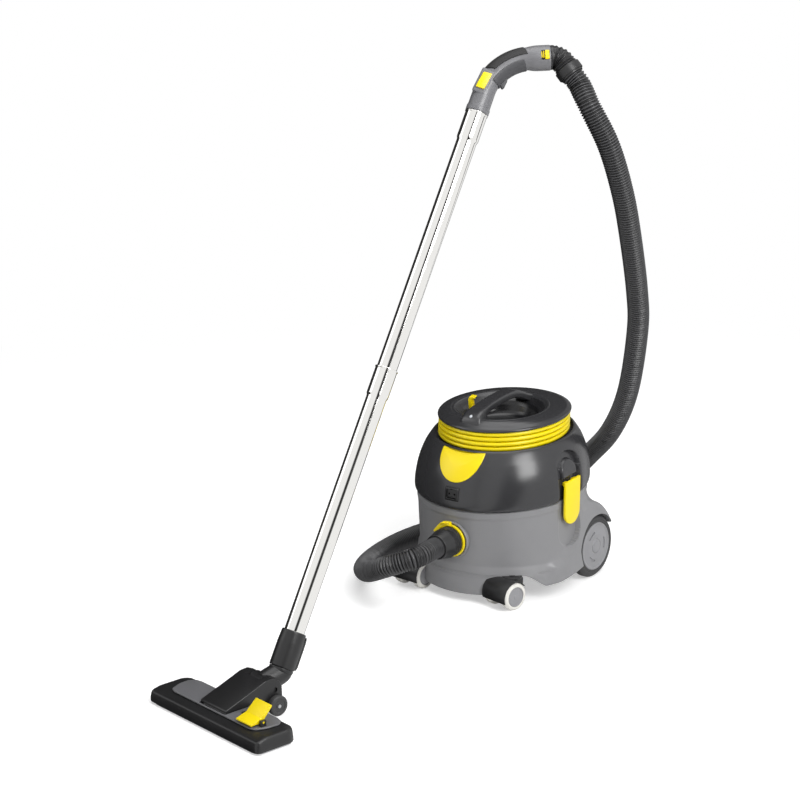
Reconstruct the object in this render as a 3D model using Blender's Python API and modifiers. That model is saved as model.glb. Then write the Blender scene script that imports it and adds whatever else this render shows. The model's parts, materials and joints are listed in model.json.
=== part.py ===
"""Tub vacuum cleaner for commercial use: wheeled container, raked motor head with the mains cable wound
round it, suction hose, bent handle, two chromed tubes and a switchable floor tool.

Metres, +Z up. The cleaner's front looks along -Y and its right side along +X. The pieces are first laid out
about the container's own axis on the floor, and the last step moves the whole so that the origin lies in
the middle of its footprint, on the floor.
"""

import math

import bmesh
import bpy
from mathutils import Matrix, Vector
from mathutils.kdtree import KDTree

# ---- clearances and walls ------------------------------------------------------------------------
GAP = 0.0003  # between two pieces that seat on each other
WALL = 0.003  # moulded wall

# ---- container ----------------------------------------------------------------------------------
TUB_RADIUS = 0.1495  # every piece of the tub and the head takes its width from this
TUB_DRAFT = 0.0015  # how much narrower the wall gets down to the skirt
SEAM_Z = 0.174  # where head and container meet, on the axis
RAKE = 0.061  # rise of seam, winding and cap towards the back, per metre
RAKE_FROM_Z = 0.100  # the container's rings start to rise here
RAKE_FULL_Z = 0.155
LEAN = 0.085  # how far the head's rings move back per metre of height
SKIRT_TOP_Z = 0.066
SKIRT_RADIUS = TUB_RADIUS + 0.0080
SKIRT_BOTTOM_Z = 0.0350  # at the sides, falling to the front
SKIRT_SLOPE = 0.1226
FLOOR_Z = 0.056  # inside floor of the container
CAVITY_LOW_RADIUS = TUB_RADIUS - 0.0330  # between the wheel wells
CAVITY_STEP_Z = 0.120
CAVITY_RADIUS = TUB_RADIUS - 0.0083
LEDGE_Z = 0.1665  # the filter basket's flange rests here
LEDGE_RADIUS = TUB_RADIUS - 0.0049
BASKET_RADIUS = LEDGE_RADIUS - 0.0014
TURNS_OF_SHELL = 36  # facets round the container and the head

# ---- rear wheels --------------------------------------------------------------------------------
WHEEL_Y = TUB_RADIUS - 0.0705
TYRE_RADIUS = 0.0570
WHEEL_Z = TYRE_RADIUS
RIM_RADIUS = 0.0430
WHEEL_INNER_X = TUB_RADIUS - 0.0267
WHEEL_WIDTH = 0.0240
WELL_CLEARANCE = 0.0020
FENDER_X = TUB_RADIUS
FENDER_BACK = 0.0635  # fender radius at its rear end
FENDER_RISE = 0.0300  # how much larger that radius is at the front of the arch
AXLE_RADIUS = 0.0060
AXLE_INNER_X = WHEEL_INNER_X - 0.0253  # where the stub ends in its boss

# ---- casters ------------------------------------------------------------------------------------
CASTER_X = TUB_RADIUS - 0.0517
CASTER_Y = -(TUB_RADIUS - 0.0352)
CASTER_TRAIL = 0.0180
CASTER_WHEEL_RADIUS = 0.0245
CASTER_WHEEL_WIDTH = 0.0165
CASTER_TRACK = 0.0440  # between the middles of the twin wheels
CASTER_AXLE_RADIUS = 0.0030
CASTER_STEM_RADIUS = 0.0055
CASTER_STEM_LENGTH = 0.0130
CASTER_ROOF_Z = 0.0530  # top of the arch that a caster turns under
CASTER_SWEEP = 0.0535
CASTER_TURNS = {"right": math.radians(-13), "left": math.radians(-6)}  # how the casters stand at rest

# ---- head ---------------------------------------------------------------------------------------
DOME_RADIUS = TUB_RADIUS + 0.0058
DOME_WIDEST_Z = 0.1814
DOME_EDGE_RADIUS = TUB_RADIUS - 0.0267
DOME_EDGE_Z = 0.2725
DECK_Z = 0.2640  # the drum stands on this deck
CABLE_FIRST_Z = 0.2725  # middle of the lowest turn
DECK_THICKNESS = 0.0035
CABLE_DIAMETER = 0.0079
CABLE_PITCH = 0.0085
CABLE_ROWS = 4
CABLE_STEPS = 20  # points in one turn
PLUG_AT = (-0.0180, TUB_RADIUS + 0.0005, 0.2873)  # where the cable's end enters the plug, at the back
PLUG_RADIUS = 0.0165
CABLE_LAYERS = 4
DRUM_RADIUS = TUB_RADIUS - 0.0650
DRUM_WALL = 0.0033
CABLE_OUTER_PATH_RADIUS = DRUM_RADIUS + (CABLE_LAYERS - 0.5) * (CABLE_DIAMETER + 0.0001) + GAP
CAP_LOWER_Z = CABLE_FIRST_Z + (CABLE_ROWS - 0.5) * CABLE_PITCH + GAP  # the cap sits over the winding
CAP_TOP_Z = CAP_LOWER_Z + 0.01795
CAP_RADIUS = TUB_RADIUS - 0.0313
BOWL_FLOOR_Z = CAP_TOP_Z - 0.0415
BOWL_RADIUS = TUB_RADIUS - 0.0695
BOWL_Y = -0.0120  # the bowl sits forward of the cap's middle
HANDLE_TOP_Z = CAP_TOP_Z + 0.0175
HANDLE_WIDTH = 0.0240
HANDLE_THICKNESS = 0.0145
BUTTON_RADIUS = 0.0440
BUTTON_CENTRE_Z = 0.2660
BUTTON_TOP_Z = 0.2700
BUTTON_PROUD = 0.0012
BUTTON_THICKNESS = 0.0065
SOCKET_WIDTH = 0.0280
SOCKET_HEIGHT = 0.0225
SOCKET_Z = 0.2025
SOCKET_PIN_SPACING = 0.0190
LATCH_Y = -0.010
LATCH_WIDTH = 0.0460
LATCH_TOP_Z = 0.2078
LATCH_BOTTOM_Z = 0.1280
LATCH_THICKNESS = 0.0050
LATCH_BACK_X = TUB_RADIUS + 0.0013
LATCH_PIVOT = Vector((TUB_RADIUS - 0.0020, LATCH_Y, 0.2020))
CHANNEL_X = TUB_RADIUS - 0.0025  # floor of the channel that a latch lies in
RECESS_WIDTH = 0.0600
RECESS_TOP_Z = 0.2547
GRILLE_WIDTH = 0.1100
GRILLE_LOW_Z = 0.1920
GRILLE_HIGH_Z = 0.2300
GRILLE_SLOTS = 5

# ---- inlet and hose -----------------------------------------------------------------------------
INLET_Z = 0.1100
INLET_BORE = 0.0170
INLET_PIPE_RADIUS = 0.0215
FLANGE_RADIUS = 0.0330
FLANGE_FACE_Y = -TUB_RADIUS - 0.0050
FLANGE_BACK_Y = -TUB_RADIUS + 0.0095
BAYONET_RADIUS = 0.0290
BAYONET_THICKNESS = 0.0040
COLLAR_RADIUS = 0.0262
COLLAR_LENGTH = 0.0420
HOSE_RADIUS = 0.0188  # over the ribs
HOSE_ROOT_RADIUS = 0.0166
HOSE_BORE = 0.0145
HOSE_RIBS = 56

# ---- wand ---------------------------------------------------------------------------------------
TUBE_RADIUS = 0.01655
TUBE_WALL = 0.0012
TUBE_EXPOSED = 0.4420  # of each tube, between its fittings
TUBE_INSERT = 0.0420  # how deep each tube is pushed in
SOCKET_RADIUS = 0.0181  # widened top end of a tube
WAND_LEAN = 0.5419  # from the vertical, radians
WAND_HEADING = 1.4696  # of its lean, from +X, radians
NECK_RIM = Vector((0.0386, -0.6320, 0.1079))  # where the lower tube leaves the floor tool's neck

# ---- hose handle --------------------------------------------------------------------------------
BEND_RADIUS = 0.0850
BEND_ANGLE = math.radians(68)
CONE_LENGTH = 0.0350
KNUCKLE_LENGTH = 0.0320
CONE_RADIUS = 0.0182
GRIP_RADIUS = 0.0178
KNUCKLE_RADIUS = 0.0208
HANDLE_BORE = 0.0135

ELBOW_RADIUS = 0.0220
ELBOW_ANGLE = math.radians(57)
ELBOW_SLEEVE = 0.0260
HOSE_CUFF_NECK = 0.0165
HOSE_ROUTE = (
    (-0.0130, -0.2680, 0.1040),
    (-0.0480, -0.2810, 0.0900),
    (-0.0920, -0.2620, 0.0680),
    (-0.1370, -0.2230, 0.0460),
    (-0.1800, -0.1740, 0.0290),
    (-0.2090, -0.1180, 0.0205),
    (-0.2220, -0.0600, 0.0192),
    (-0.2250, 0.0000, 0.0192),
    (-0.2180, 0.0600, 0.0192),
    (-0.1980, 0.1180, 0.0200),
    (-0.1600, 0.1680, 0.0260),
    (-0.1080, 0.2000, 0.0450),
    (-0.0500, 0.2110, 0.0830),
    (0.0080, 0.2050, 0.1330),
    (0.0610, 0.1900, 0.1830),
    (0.1245, 0.1650, 0.2470),
    (0.1780, 0.1350, 0.3350),
    (0.2250, 0.0900, 0.4620),
    (0.2420, 0.0600, 0.5390),
    (0.2560, 0.0150, 0.6460),
    (0.2590, -0.0150, 0.7255),
    (0.2520, -0.0450, 0.8050),
    (0.2297, -0.0654, 0.8680),
)

# ---- floor tool ---------------------------------------------------------------------------------
TOOL_CENTRE = Vector((0.0095, -0.7790, 0.0))
TOOL_HEADING = math.radians(-12.8)
TOOL_WIDTH = 0.2850
TOOL_DEPTH = 0.0780
TOOL_HEIGHT = 0.0250
TOOL_SOLE_Z = 0.0030
PLATE_THICKNESS = 0.0030
HOOD_HALF = 0.0330
HOOD_PIVOT = Vector((0.0, -0.004, 0.0195))
ELBOW_PIVOT = Vector((0.0, 0.0800, 0.0400))
NECK_RADIUS = 0.0180
SLEEVE_RADIUS = 0.0208
SLEEVE_LENGTH = 0.0600
ROLLER_RADIUS = 0.0165
ROLLER_WIDTH = 0.0110
ROLLER_N = 0.0790
PEDAL_U = 0.0850
PEDAL_N = -0.0010
PEDAL_Z = 0.0345
PEDAL_HALF = 0.0190
PEDAL_POST = PEDAL_HALF + 0.0034
BRUSH_TUFTS = 14


HEAD_GREY = (0.060, 0.060, 0.062)
TUB_GREY = (0.250, 0.250, 0.255)
LIGHT_GREY = (0.420, 0.420, 0.420)
BLACK = (0.012, 0.012, 0.013)
CHARCOAL = (0.030, 0.030, 0.031)
YELLOW = (0.900, 0.760, 0.000)
WHITE = (0.800, 0.800, 0.790)
CHROME = (0.800, 0.780, 0.740)
STEEL = (0.450, 0.450, 0.450)
FELT = (0.550, 0.530, 0.480)


# ---- scene and materials ------------------------------------------------------------------------
def clear_scene():
    for old in list(bpy.data.objects):
        bpy.data.objects.remove(old)
    for name in ("tub_vacuum_cleaner", "cutters"):
        bpy.context.scene.collection.children.link(bpy.data.collections.new(name))


def material(name, colour, roughness, metallic=0.0):
    made = bpy.data.materials.get(name)
    if made is None:
        made = bpy.data.materials.new(name)
        made.use_nodes = True
        shader = made.node_tree.nodes["Principled BSDF"]
        shader.inputs["Base Color"].default_value = (*colour, 1.0)
        shader.inputs["Roughness"].default_value = roughness
        shader.inputs["Metallic"].default_value = metallic
    return made


def keep(obj, name, colour, roughness=0.45, metallic=0.0):
    """Names a finished piece, gives it its material and puts it in the assembly's collection."""
    obj.name = name
    obj.data.name = name
    obj.data.materials.clear()
    obj.data.materials.append(material(name + "_finish", colour, roughness, metallic))
    obj.data.shade_smooth()
    obj.data.set_sharp_from_angle(angle=math.radians(35))
    return obj


def helper(obj):
    """A cutter or a guide: out of the assembly and out of the render."""
    for collection in list(obj.users_collection):
        collection.objects.unlink(obj)
    bpy.data.collections["cutters"].objects.link(obj)
    obj.hide_render = True
    obj.display_type = "WIRE"
    return obj


def object_of(mesh, name="shape"):
    obj = bpy.data.objects.new(name, mesh)
    bpy.data.collections["tub_vacuum_cleaner"].objects.link(obj)
    return obj


def baked(obj):
    """The same object with its modifiers, or its curve, turned into a plain welded mesh."""
    graph = bpy.context.evaluated_depsgraph_get()
    mesh = bpy.data.meshes.new_from_object(obj.evaluated_get(graph))
    work = bmesh.new()
    work.from_mesh(mesh)
    bmesh.ops.remove_doubles(work, verts=work.verts, dist=1e-6)
    bmesh.ops.recalc_face_normals(work, faces=work.faces)
    work.to_mesh(mesh)
    work.free()
    done = object_of(mesh, obj.name)
    done.matrix_world = obj.matrix_world
    bpy.data.objects.remove(obj)
    return done


# ---- shapes -------------------------------------------------------------------------------------
def turned(profile, steps=32, closed=False):
    """A solid of revolution about Z. An open profile starts and ends on the axis, a closed one is a ring."""
    mesh = bpy.data.meshes.new("profile")
    count = len(profile)
    edges = [(i, i + 1) for i in range(count - 1)] + ([(count - 1, 0)] if closed else [])
    mesh.from_pydata([(radius, 0.0, z) for radius, z in profile], edges, [])
    obj = object_of(mesh)
    screw = obj.modifiers.new("turn", "SCREW")
    screw.steps = screw.render_steps = steps
    screw.use_merge_vertices = True
    screw.merge_threshold = 0.00001
    bpy.context.view_layer.update()
    return baked(obj)


def ring_profile(inner, outer, low, high, chamfer=0.0):
    """A rectangular section with its outer corners taken off."""
    if not chamfer:
        return [(outer, high), (outer, low), (inner, low), (inner, high)]
    return [
        (outer - chamfer, high),
        (outer, high - chamfer),
        (outer, low + chamfer),
        (outer - chamfer, low),
        (inner, low),
        (inner, high),
    ]


def disc(radius, low, high, steps=32, chamfer=0.0):
    if not chamfer:
        return turned([(0, high), (radius, high), (radius, low), (0, low)], steps)
    return turned(
        [
            (0, high),
            (radius - chamfer, high),
            (radius, high - chamfer),
            (radius, low + chamfer),
            (radius - chamfer, low),
            (0, low),
        ],
        steps,
    )


def ring(inner, outer, low, high, steps=32, chamfer=0.0):
    return turned(ring_profile(inner, outer, low, high, chamfer), steps, closed=True)


def block(low, high, bevel=0.0, segments=2):
    """An axis-aligned box between two corners, with rounded edges."""
    low, high = Vector(low), Vector(high)
    mesh = bpy.data.meshes.new("block")
    work = bmesh.new()
    bmesh.ops.create_cube(work, size=1.0)
    bmesh.ops.scale(work, vec=high - low, verts=work.verts)
    bmesh.ops.translate(work, vec=(low + high) / 2, verts=work.verts)
    work.to_mesh(mesh)
    work.free()
    obj = object_of(mesh)
    if bevel:
        rounded = obj.modifiers.new("edges", "BEVEL")
        rounded.width = bevel
        rounded.segments = segments
        bpy.context.view_layer.update()
        obj = baked(obj)
    return obj


def prism(outline, low, high, across="Y", bevel=0.0, segments=2):
    """A flat outline raised into a solid between two planes. across names the axis that it is raised along."""
    mesh = bpy.data.meshes.new("prism")
    work = bmesh.new()
    verts = [work.verts.new((a, b, 0.0)) for a, b in outline]
    face = work.faces.new(verts)
    raised = bmesh.ops.extrude_face_region(work, geom=[face])
    top = [item for item in raised["geom"] if isinstance(item, bmesh.types.BMVert)]
    bmesh.ops.translate(work, vec=(0, 0, high - low), verts=top)
    bmesh.ops.translate(work, vec=(0, 0, low), verts=work.verts)
    bmesh.ops.recalc_face_normals(work, faces=work.faces)
    work.to_mesh(mesh)
    work.free()
    obj = object_of(mesh)
    if bevel:
        rounded = obj.modifiers.new("edges", "BEVEL")
        rounded.width = bevel
        rounded.segments = segments
        rounded.limit_method = "ANGLE"
        rounded.angle_limit = math.radians(50)
        bpy.context.view_layer.update()
        obj = baked(obj)
    turns = {
        "Z": Matrix.Identity(4),
        "Y": Matrix(((1, 0, 0, 0), (0, 0, 1, 0), (0, 1, 0, 0), (0, 0, 0, 1))),
        "X": Matrix(((0, 0, 1, 0), (1, 0, 0, 0), (0, 1, 0, 0), (0, 0, 0, 1))),
    }
    obj.data.transform(turns[across])
    if across == "Y":
        obj.data.flip_normals()
    return obj


def arc(centre, radius, start, end, steps):
    """Points of an arc, in degrees anticlockwise."""
    angles = [math.radians(start + (end - start) * i / steps) for i in range(steps + 1)]
    return [(centre[0] + radius * math.cos(a), centre[1] + radius * math.sin(a)) for a in angles]


def tube(points, radius, factors=None, resolution=2):
    """A tube along points, 4 + 2 x resolution sides, with a radius factor at each point if given."""
    curve = bpy.data.curves.new("tube", "CURVE")
    curve.dimensions = "3D"
    curve.bevel_depth = radius
    curve.bevel_resolution = resolution
    curve.use_fill_caps = True
    curve.twist_mode = "MINIMUM"
    spline = curve.splines.new("POLY")
    spline.points.add(len(points) - 1)
    for place, (point, co) in enumerate(zip(spline.points, points)):
        point.co = (*co, 1.0)
        point.radius = factors[place] if factors else 1.0
    obj = bpy.data.objects.new("tube", curve)
    bpy.data.collections["tub_vacuum_cleaner"].objects.link(obj)
    bpy.context.view_layer.update()
    return baked(obj)


def smooth_route(points, step):
    """A Catmull-Rom curve through points, sampled about every step metres."""
    points = [Vector(p) for p in points]
    ends = [points[0] * 2 - points[1]] + points + [points[-1] * 2 - points[-2]]
    dense = []
    for i in range(1, len(ends) - 2):
        a, b, c, d = ends[i - 1 : i + 3]
        for k in range(24):
            t = k / 24
            dense.append(
                0.5
                * (2 * b + (c - a) * t + (2 * a - 5 * b + 4 * c - d) * t * t + (3 * b - a - 3 * c + d) * t**3)
            )
    dense.append(points[-1])
    return resampled(dense, step)


def resampled(points, step):
    """The same polyline with evenly spaced points."""
    lengths = [0.0]
    for a, b in zip(points, points[1:]):
        lengths.append(lengths[-1] + (b - a).length)
    count = max(2, round(lengths[-1] / step))
    out, place = [], 0
    for i in range(count + 1):
        want = lengths[-1] * i / count
        while place < len(points) - 2 and lengths[place + 1] < want:
            place += 1
        span = lengths[place + 1] - lengths[place]
        out.append(points[place].lerp(points[place + 1], (want - lengths[place]) / span))
    return out


def boolean(obj, operation, other):
    """Adds a Boolean with another object, which becomes a helper."""
    made = obj.modifiers.new(operation.lower(), "BOOLEAN")
    made.operation = operation
    made.object = helper(other)
    return obj


def cut(obj, *others):
    for other in others:
        boolean(obj, "DIFFERENCE", other)
    return obj


def joined(obj, *others):
    for other in others:
        boolean(obj, "UNION", other)
    return obj


def common(obj, other):
    return boolean(obj, "INTERSECT", other)


def settled(obj):
    """Bakes the Booleans of a shape that further steps change."""
    bpy.context.view_layer.update()
    return baked(obj)


def moved(obj, matrix):
    obj.data.transform(matrix)
    if matrix.determinant() < 0:
        obj.data.flip_normals()
    return obj


def shifted(obj, x=0.0, y=0.0, z=0.0):
    return moved(obj, Matrix.Translation((x, y, z)))


def placed(obj, pivot):
    """Puts the origin of a moving piece on its joint's axis, with the piece where it is."""
    obj.data.transform(Matrix.Translation(-Vector(pivot)))
    obj.location = pivot
    return obj


def copy_of(obj):
    return object_of(obj.data.copy())


def mirrored(obj):
    return moved(copy_of(obj), Matrix.Scale(-1, 4, (1, 0, 0)))


def raked_point(point):
    """The head's rake and lean, and the container's gradual rise to it."""
    share = min(max((point.z - RAKE_FROM_Z) / (RAKE_FULL_Z - RAKE_FROM_Z), 0.0), 1.0)
    rise = RAKE * point.y * share * share * (3 - 2 * share)
    back = LEAN * max(0.0, point.z - SEAM_Z)
    return Vector((point.x, point.y + back, point.z + rise))


def raked(obj):
    """Moves every point with the rake. Flat faces are split first, because they would no longer be flat."""
    work = bmesh.new()
    work.from_mesh(obj.data)
    bmesh.ops.triangulate(work, faces=work.faces)
    for vertex in work.verts:
        vertex.co = raked_point(vertex.co)
    work.to_mesh(obj.data)
    work.free()
    return obj


def offset_profile(profile, distance):
    """A turned outline moved outwards along its normals. The outline runs top to bottom on the outer side."""
    out = []
    for i, (radius, z) in enumerate(profile):
        before = profile[max(i - 1, 0)]
        after = profile[min(i + 1, len(profile) - 1)]
        along = Vector((after[0] - before[0], after[1] - before[1])).normalized()
        out.append((max(radius - along.y * distance, 0.0), z + along.x * distance))
    return out


DOME_PROFILE = [
    (DOME_EDGE_RADIUS, DOME_EDGE_Z),
    (TUB_RADIUS - 0.0225, 0.2704),
    (TUB_RADIUS - 0.0125, 0.2560),
    (TUB_RADIUS - 0.0077, 0.2467),
    (TUB_RADIUS - 0.0023, 0.2330),
    (TUB_RADIUS + 0.0019, 0.2177),
    (TUB_RADIUS + 0.0048, 0.2000),
    (DOME_RADIUS, DOME_WIDEST_Z + 0.0030),
    (TUB_RADIUS + 0.0040, 0.1768),
    (TUB_RADIUS + 0.0005, SEAM_Z + GAP),
]
CAP_PROFILE = [
    (0.0, CAP_TOP_Z),
    (TUB_RADIUS - 0.0745, CAP_TOP_Z - 0.0005),
    (TUB_RADIUS - 0.0555, CAP_TOP_Z - 0.0029),
    (TUB_RADIUS - 0.0405, CAP_TOP_Z - 0.0077),
    (TUB_RADIUS - 0.0335, CAP_TOP_Z - 0.0125),
    (CAP_RADIUS, CAP_TOP_Z - 0.0160),
    (CAP_RADIUS, CAP_LOWER_Z),
]
BOWL_PROFILE = [
    (0.0, CAP_TOP_Z + 0.0195),
    (BOWL_RADIUS + 0.0060, CAP_TOP_Z + 0.0195),
    (BOWL_RADIUS + 0.0060, CAP_TOP_Z + 0.0001),
    (BOWL_RADIUS, CAP_TOP_Z - 0.0045),
    (BOWL_RADIUS - 0.0090, CAP_TOP_Z - 0.0125),
    (BOWL_RADIUS - 0.0175, CAP_TOP_Z - 0.0215),
    (BOWL_RADIUS - 0.0210, BOWL_FLOOR_Z + 0.0060),
    (BOWL_RADIUS - 0.0280, BOWL_FLOOR_Z),
    (0.0, BOWL_FLOOR_Z),
]
HEAD_AXIS = Vector((0.0, 1.0, RAKE)).normalized()  # what runs front to back in the raked head


# ---- container ----------------------------------------------------------------------------------
def fender():
    """The arch over a right rear wheel, as an outline raised along X."""
    outline = []
    for i in range(10):
        angle = math.radians(32 + (115 - 32) * i / 9)
        reach = FENDER_BACK + FENDER_RISE * (i / 9) ** 1.6
        outline.append((WHEEL_Y + reach * math.cos(angle), WHEEL_Z + reach * math.sin(angle)))
    outline += [(0.024, 0.1440), (0.010, 0.1250), (0.004, 0.0800), (0.008, 0.0360), (WHEEL_Y, 0.0360)]
    arch = prism(outline, TUB_RADIUS - 0.0545, FENDER_X, across="X", bevel=0.0030, segments=1)
    return settled(cut(arch, disc(TUB_RADIUS - 0.0040, 0.0, 0.2, TURNS_OF_SHELL)))


def caster_well(side):
    clear = turned(
        [
            (0.0, CASTER_ROOF_Z + CASTER_STEM_LENGTH),
            (CASTER_STEM_RADIUS + GAP, CASTER_ROOF_Z + CASTER_STEM_LENGTH),
            (CASTER_STEM_RADIUS + GAP, CASTER_ROOF_Z),
            (0.0380, CASTER_ROOF_Z - 0.0008),
            (0.0440, 0.0490),
            (0.0500, 0.0410),
            (CASTER_SWEEP, 0.0310),
            (CASTER_SWEEP, -0.0100),
            (0.0, -0.0100),
        ],
        20,
    )
    return shifted(clear, x=side * CASTER_X, y=CASTER_Y)


def latch_channel(side):
    """A rounded channel down the container's side, for the latch and for the fingers that pull it."""
    half = LATCH_WIDTH / 2 + 0.0012
    outline = [(LATCH_Y + half, SEAM_Z + 0.02)] + arc((LATCH_Y, 0.112), half, 0, -180, 6)
    outline += [(LATCH_Y - half, SEAM_Z + 0.02)]
    made = prism(outline, CHANNEL_X, TUB_RADIUS + 0.0205, across="X")
    return made if side > 0 else moved(made, Matrix.Scale(-1, 4, (1, 0, 0)))


def build_container():
    """A drafted shell with a rim, a flared skirt, wheel arches and caster wells."""
    body = turned(
        [
            (0.0, FLOOR_Z),
            (CAVITY_LOW_RADIUS, FLOOR_Z),
            (CAVITY_LOW_RADIUS, CAVITY_STEP_Z - 0.0040),
            (CAVITY_LOW_RADIUS + 0.0040, CAVITY_STEP_Z),
            (CAVITY_RADIUS, CAVITY_STEP_Z),
            (CAVITY_RADIUS, LEDGE_Z),
            (LEDGE_RADIUS, LEDGE_Z),
            (LEDGE_RADIUS, SEAM_Z),
            (TUB_RADIUS - 0.0005, SEAM_Z),
            (TUB_RADIUS + 0.0013, SEAM_Z - 0.0018),
            (TUB_RADIUS + 0.0013, SEAM_Z - 0.0125),
            (TUB_RADIUS, SEAM_Z - 0.0145),
            (TUB_RADIUS - TUB_DRAFT, 0.0900),
            (TUB_RADIUS - TUB_DRAFT, SKIRT_TOP_Z),
            (TUB_RADIUS + 0.0005, 0.0615),
            (TUB_RADIUS + 0.0043, 0.0480),
            (TUB_RADIUS + 0.0068, 0.0340),
            (SKIRT_RADIUS, 0.0140),
            (0.0, 0.0140),
        ],
        TURNS_OF_SHELL,
    )
    right = fender()
    joined(body, mirrored(right), right)
    # The skirt is cut off along a slope, so that it hangs lower at the front.
    slope = [(-0.2, -0.05), (0.2, -0.05), (0.2, SKIRT_BOTTOM_Z + 0.2 * SKIRT_SLOPE)]
    slope += [(-0.2, SKIRT_BOTTOM_Z - 0.2 * SKIRT_SLOPE)]
    cut(body, prism(slope, -0.2, 0.2, across="X"))
    body = settled(body)
    inner_x = WHEEL_INNER_X - 0.0053
    hollow = disc(TUB_RADIUS + 0.0020, -0.01, FLOOR_Z - WALL, 48)
    hollow = settled(common(hollow, block((-inner_x, -0.2, -0.02), (inner_x, 0.2, 0.08))))
    cut(body, hollow)
    for side in (1, -1):
        well = disc(TYRE_RADIUS + WELL_CLEARANCE, 0.0, 0.1, 28)
        moved(well, Matrix.Translation((side * (WHEEL_INNER_X - WELL_CLEARANCE), WHEEL_Y, WHEEL_Z)) @ x_turn(side))
        cut(body, well)
    body = settled(body)
    for side in (1, -1):
        boss = disc(AXLE_RADIUS + 0.0060, 0.0, 0.0270, 16)
        joined(body, moved(boss, Matrix.Translation((side * (AXLE_INNER_X - 0.0040), WHEEL_Y, WHEEL_Z)) @ x_turn(side)))
        cup = disc(CASTER_STEM_RADIUS + 0.0050, CASTER_ROOF_Z - 0.002, CASTER_ROOF_Z + 0.0155, 16)
        joined(body, shifted(cup, x=side * CASTER_X, y=CASTER_Y))
    body = settled(body)
    for side in (1, -1):
        bore = disc(AXLE_RADIUS + GAP + 0.0002, -0.01, 0.1, 16)
        cut(body, moved(bore, Matrix.Translation((side * AXLE_INNER_X, WHEEL_Y, WHEEL_Z)) @ x_turn(side)))
        cut(body, caster_well(side))
    body = raked(settled(body))
    inlet = disc(FLANGE_RADIUS - 0.0020 + GAP, -0.03, 0.03, 24)
    cut(body, moved(inlet, Matrix.Translation((0.0, -TUB_RADIUS, INLET_Z)) @ y_turn()))
    for side in (1, -1):
        cut(body, latch_channel(side))
    keep(body, "container", TUB_GREY, 0.35)


def x_turn(side=1):
    """Lays a shape that stands along Z out along X, to the given side."""
    return Matrix.Rotation(side * math.pi / 2, 4, "Y")


def y_turn():
    """Lays a shape that stands along Z out towards the front."""
    return Matrix.Rotation(math.pi / 2, 4, "X")


def facing_front(obj, x, y, z):
    return moved(obj, Matrix.Translation((x, y, z)) @ y_turn())


def build_inlet():
    """The flange in the container's front, the bayonet ring on it and the hose's coupling."""
    depth = FLANGE_FACE_Y - FLANGE_BACK_Y
    flange = turned(
        [
            (INLET_PIPE_RADIUS + 0.0008 + GAP, 0.0),
            (FLANGE_RADIUS - 0.0020, 0.0),
            (FLANGE_RADIUS - 0.0020, -depth - 0.0050),
            (FLANGE_RADIUS, -depth - 0.0040),
            (FLANGE_RADIUS, -depth - 0.0010),
            (FLANGE_RADIUS - 0.0010, -depth),
            (INLET_PIPE_RADIUS + 0.0008 + GAP, -depth),
        ],
        24,
        closed=True,
    )
    facing_front(flange, 0.0, FLANGE_BACK_Y, INLET_Z)
    keep(flange, "inlet_flange", TUB_GREY, 0.40)

    # The ring turns on the flange's mouth. Its catch is the tab that a thumb pushes.
    hold = ring(INLET_PIPE_RADIUS + 0.0008 + GAP, BAYONET_RADIUS, 0.0, BAYONET_THICKNESS, 24, 0.0010)
    tab = prism(
        [
            (-0.0350, 0.0130),
            (-0.0270, 0.0090),
            (-0.0185, 0.0205),
            (-0.0060, 0.0272),
            (0.0010, 0.0285),
            (0.0010, 0.0340),
            (-0.0170, 0.0335),
        ],
        0.0,
        BAYONET_THICKNESS + 0.0035,
        across="Z",
    )
    hold = settled(joined(hold, tab))
    facing_front(hold, 0.0, FLANGE_FACE_Y - GAP, INLET_Z)
    placed(keep(hold, "bayonet_ring", YELLOW, 0.40), (0.0, FLANGE_FACE_Y, INLET_Z))

    start = FLANGE_BACK_Y + 0.0020
    nose = FLANGE_FACE_Y - BAYONET_THICKNESS - 2 * GAP
    end = nose - COLLAR_LENGTH
    outline = [
        (INLET_BORE, start),
        (INLET_PIPE_RADIUS, start),
        (INLET_PIPE_RADIUS, nose),
        (COLLAR_RADIUS, nose),
        (COLLAR_RADIUS, nose - 0.0080),
    ]
    outline += [(COLLAR_RADIUS - 0.0018, nose - 0.0086), (COLLAR_RADIUS - 0.0018, nose - 0.0112)]
    outline += [(COLLAR_RADIUS, nose - 0.0118), (COLLAR_RADIUS, nose - 0.0200)]
    outline += [
        (COLLAR_RADIUS - 0.0030, end + 0.0130),
        (HOSE_RADIUS + 0.0022, end),
        (HOSE_RADIUS + GAP + 0.0004, end),
        (HOSE_RADIUS + GAP + 0.0004, end + 0.0160),
        (INLET_BORE, end + 0.0160),
    ]
    coupling = turned([(radius, -y) for radius, y in outline], 20, closed=True)
    facing_front(coupling, 0.0, 0.0, INLET_Z)
    keep(coupling, "hose_coupling", BLACK, 0.50)


# ---- head ---------------------------------------------------------------------------------------
def dome_shell(outwards, inwards):
    """The dome between two offsets of its outline, as a ring."""
    outer = offset_profile(DOME_PROFILE, outwards)
    inner = offset_profile(DOME_PROFILE, inwards)
    return turned(outer + inner[::-1], TURNS_OF_SHELL, closed=True)


def button_outline(extra=0.0):
    """A D on its back: straight on top under the winding, round below."""
    reach = BUTTON_RADIUS + extra
    outline = [(-reach, BUTTON_TOP_Z + extra)]
    outline += arc((0.0, BUTTON_CENTRE_Z), reach, 180, 360, 16)
    return outline + [(reach, BUTTON_TOP_Z + extra)]


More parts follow.
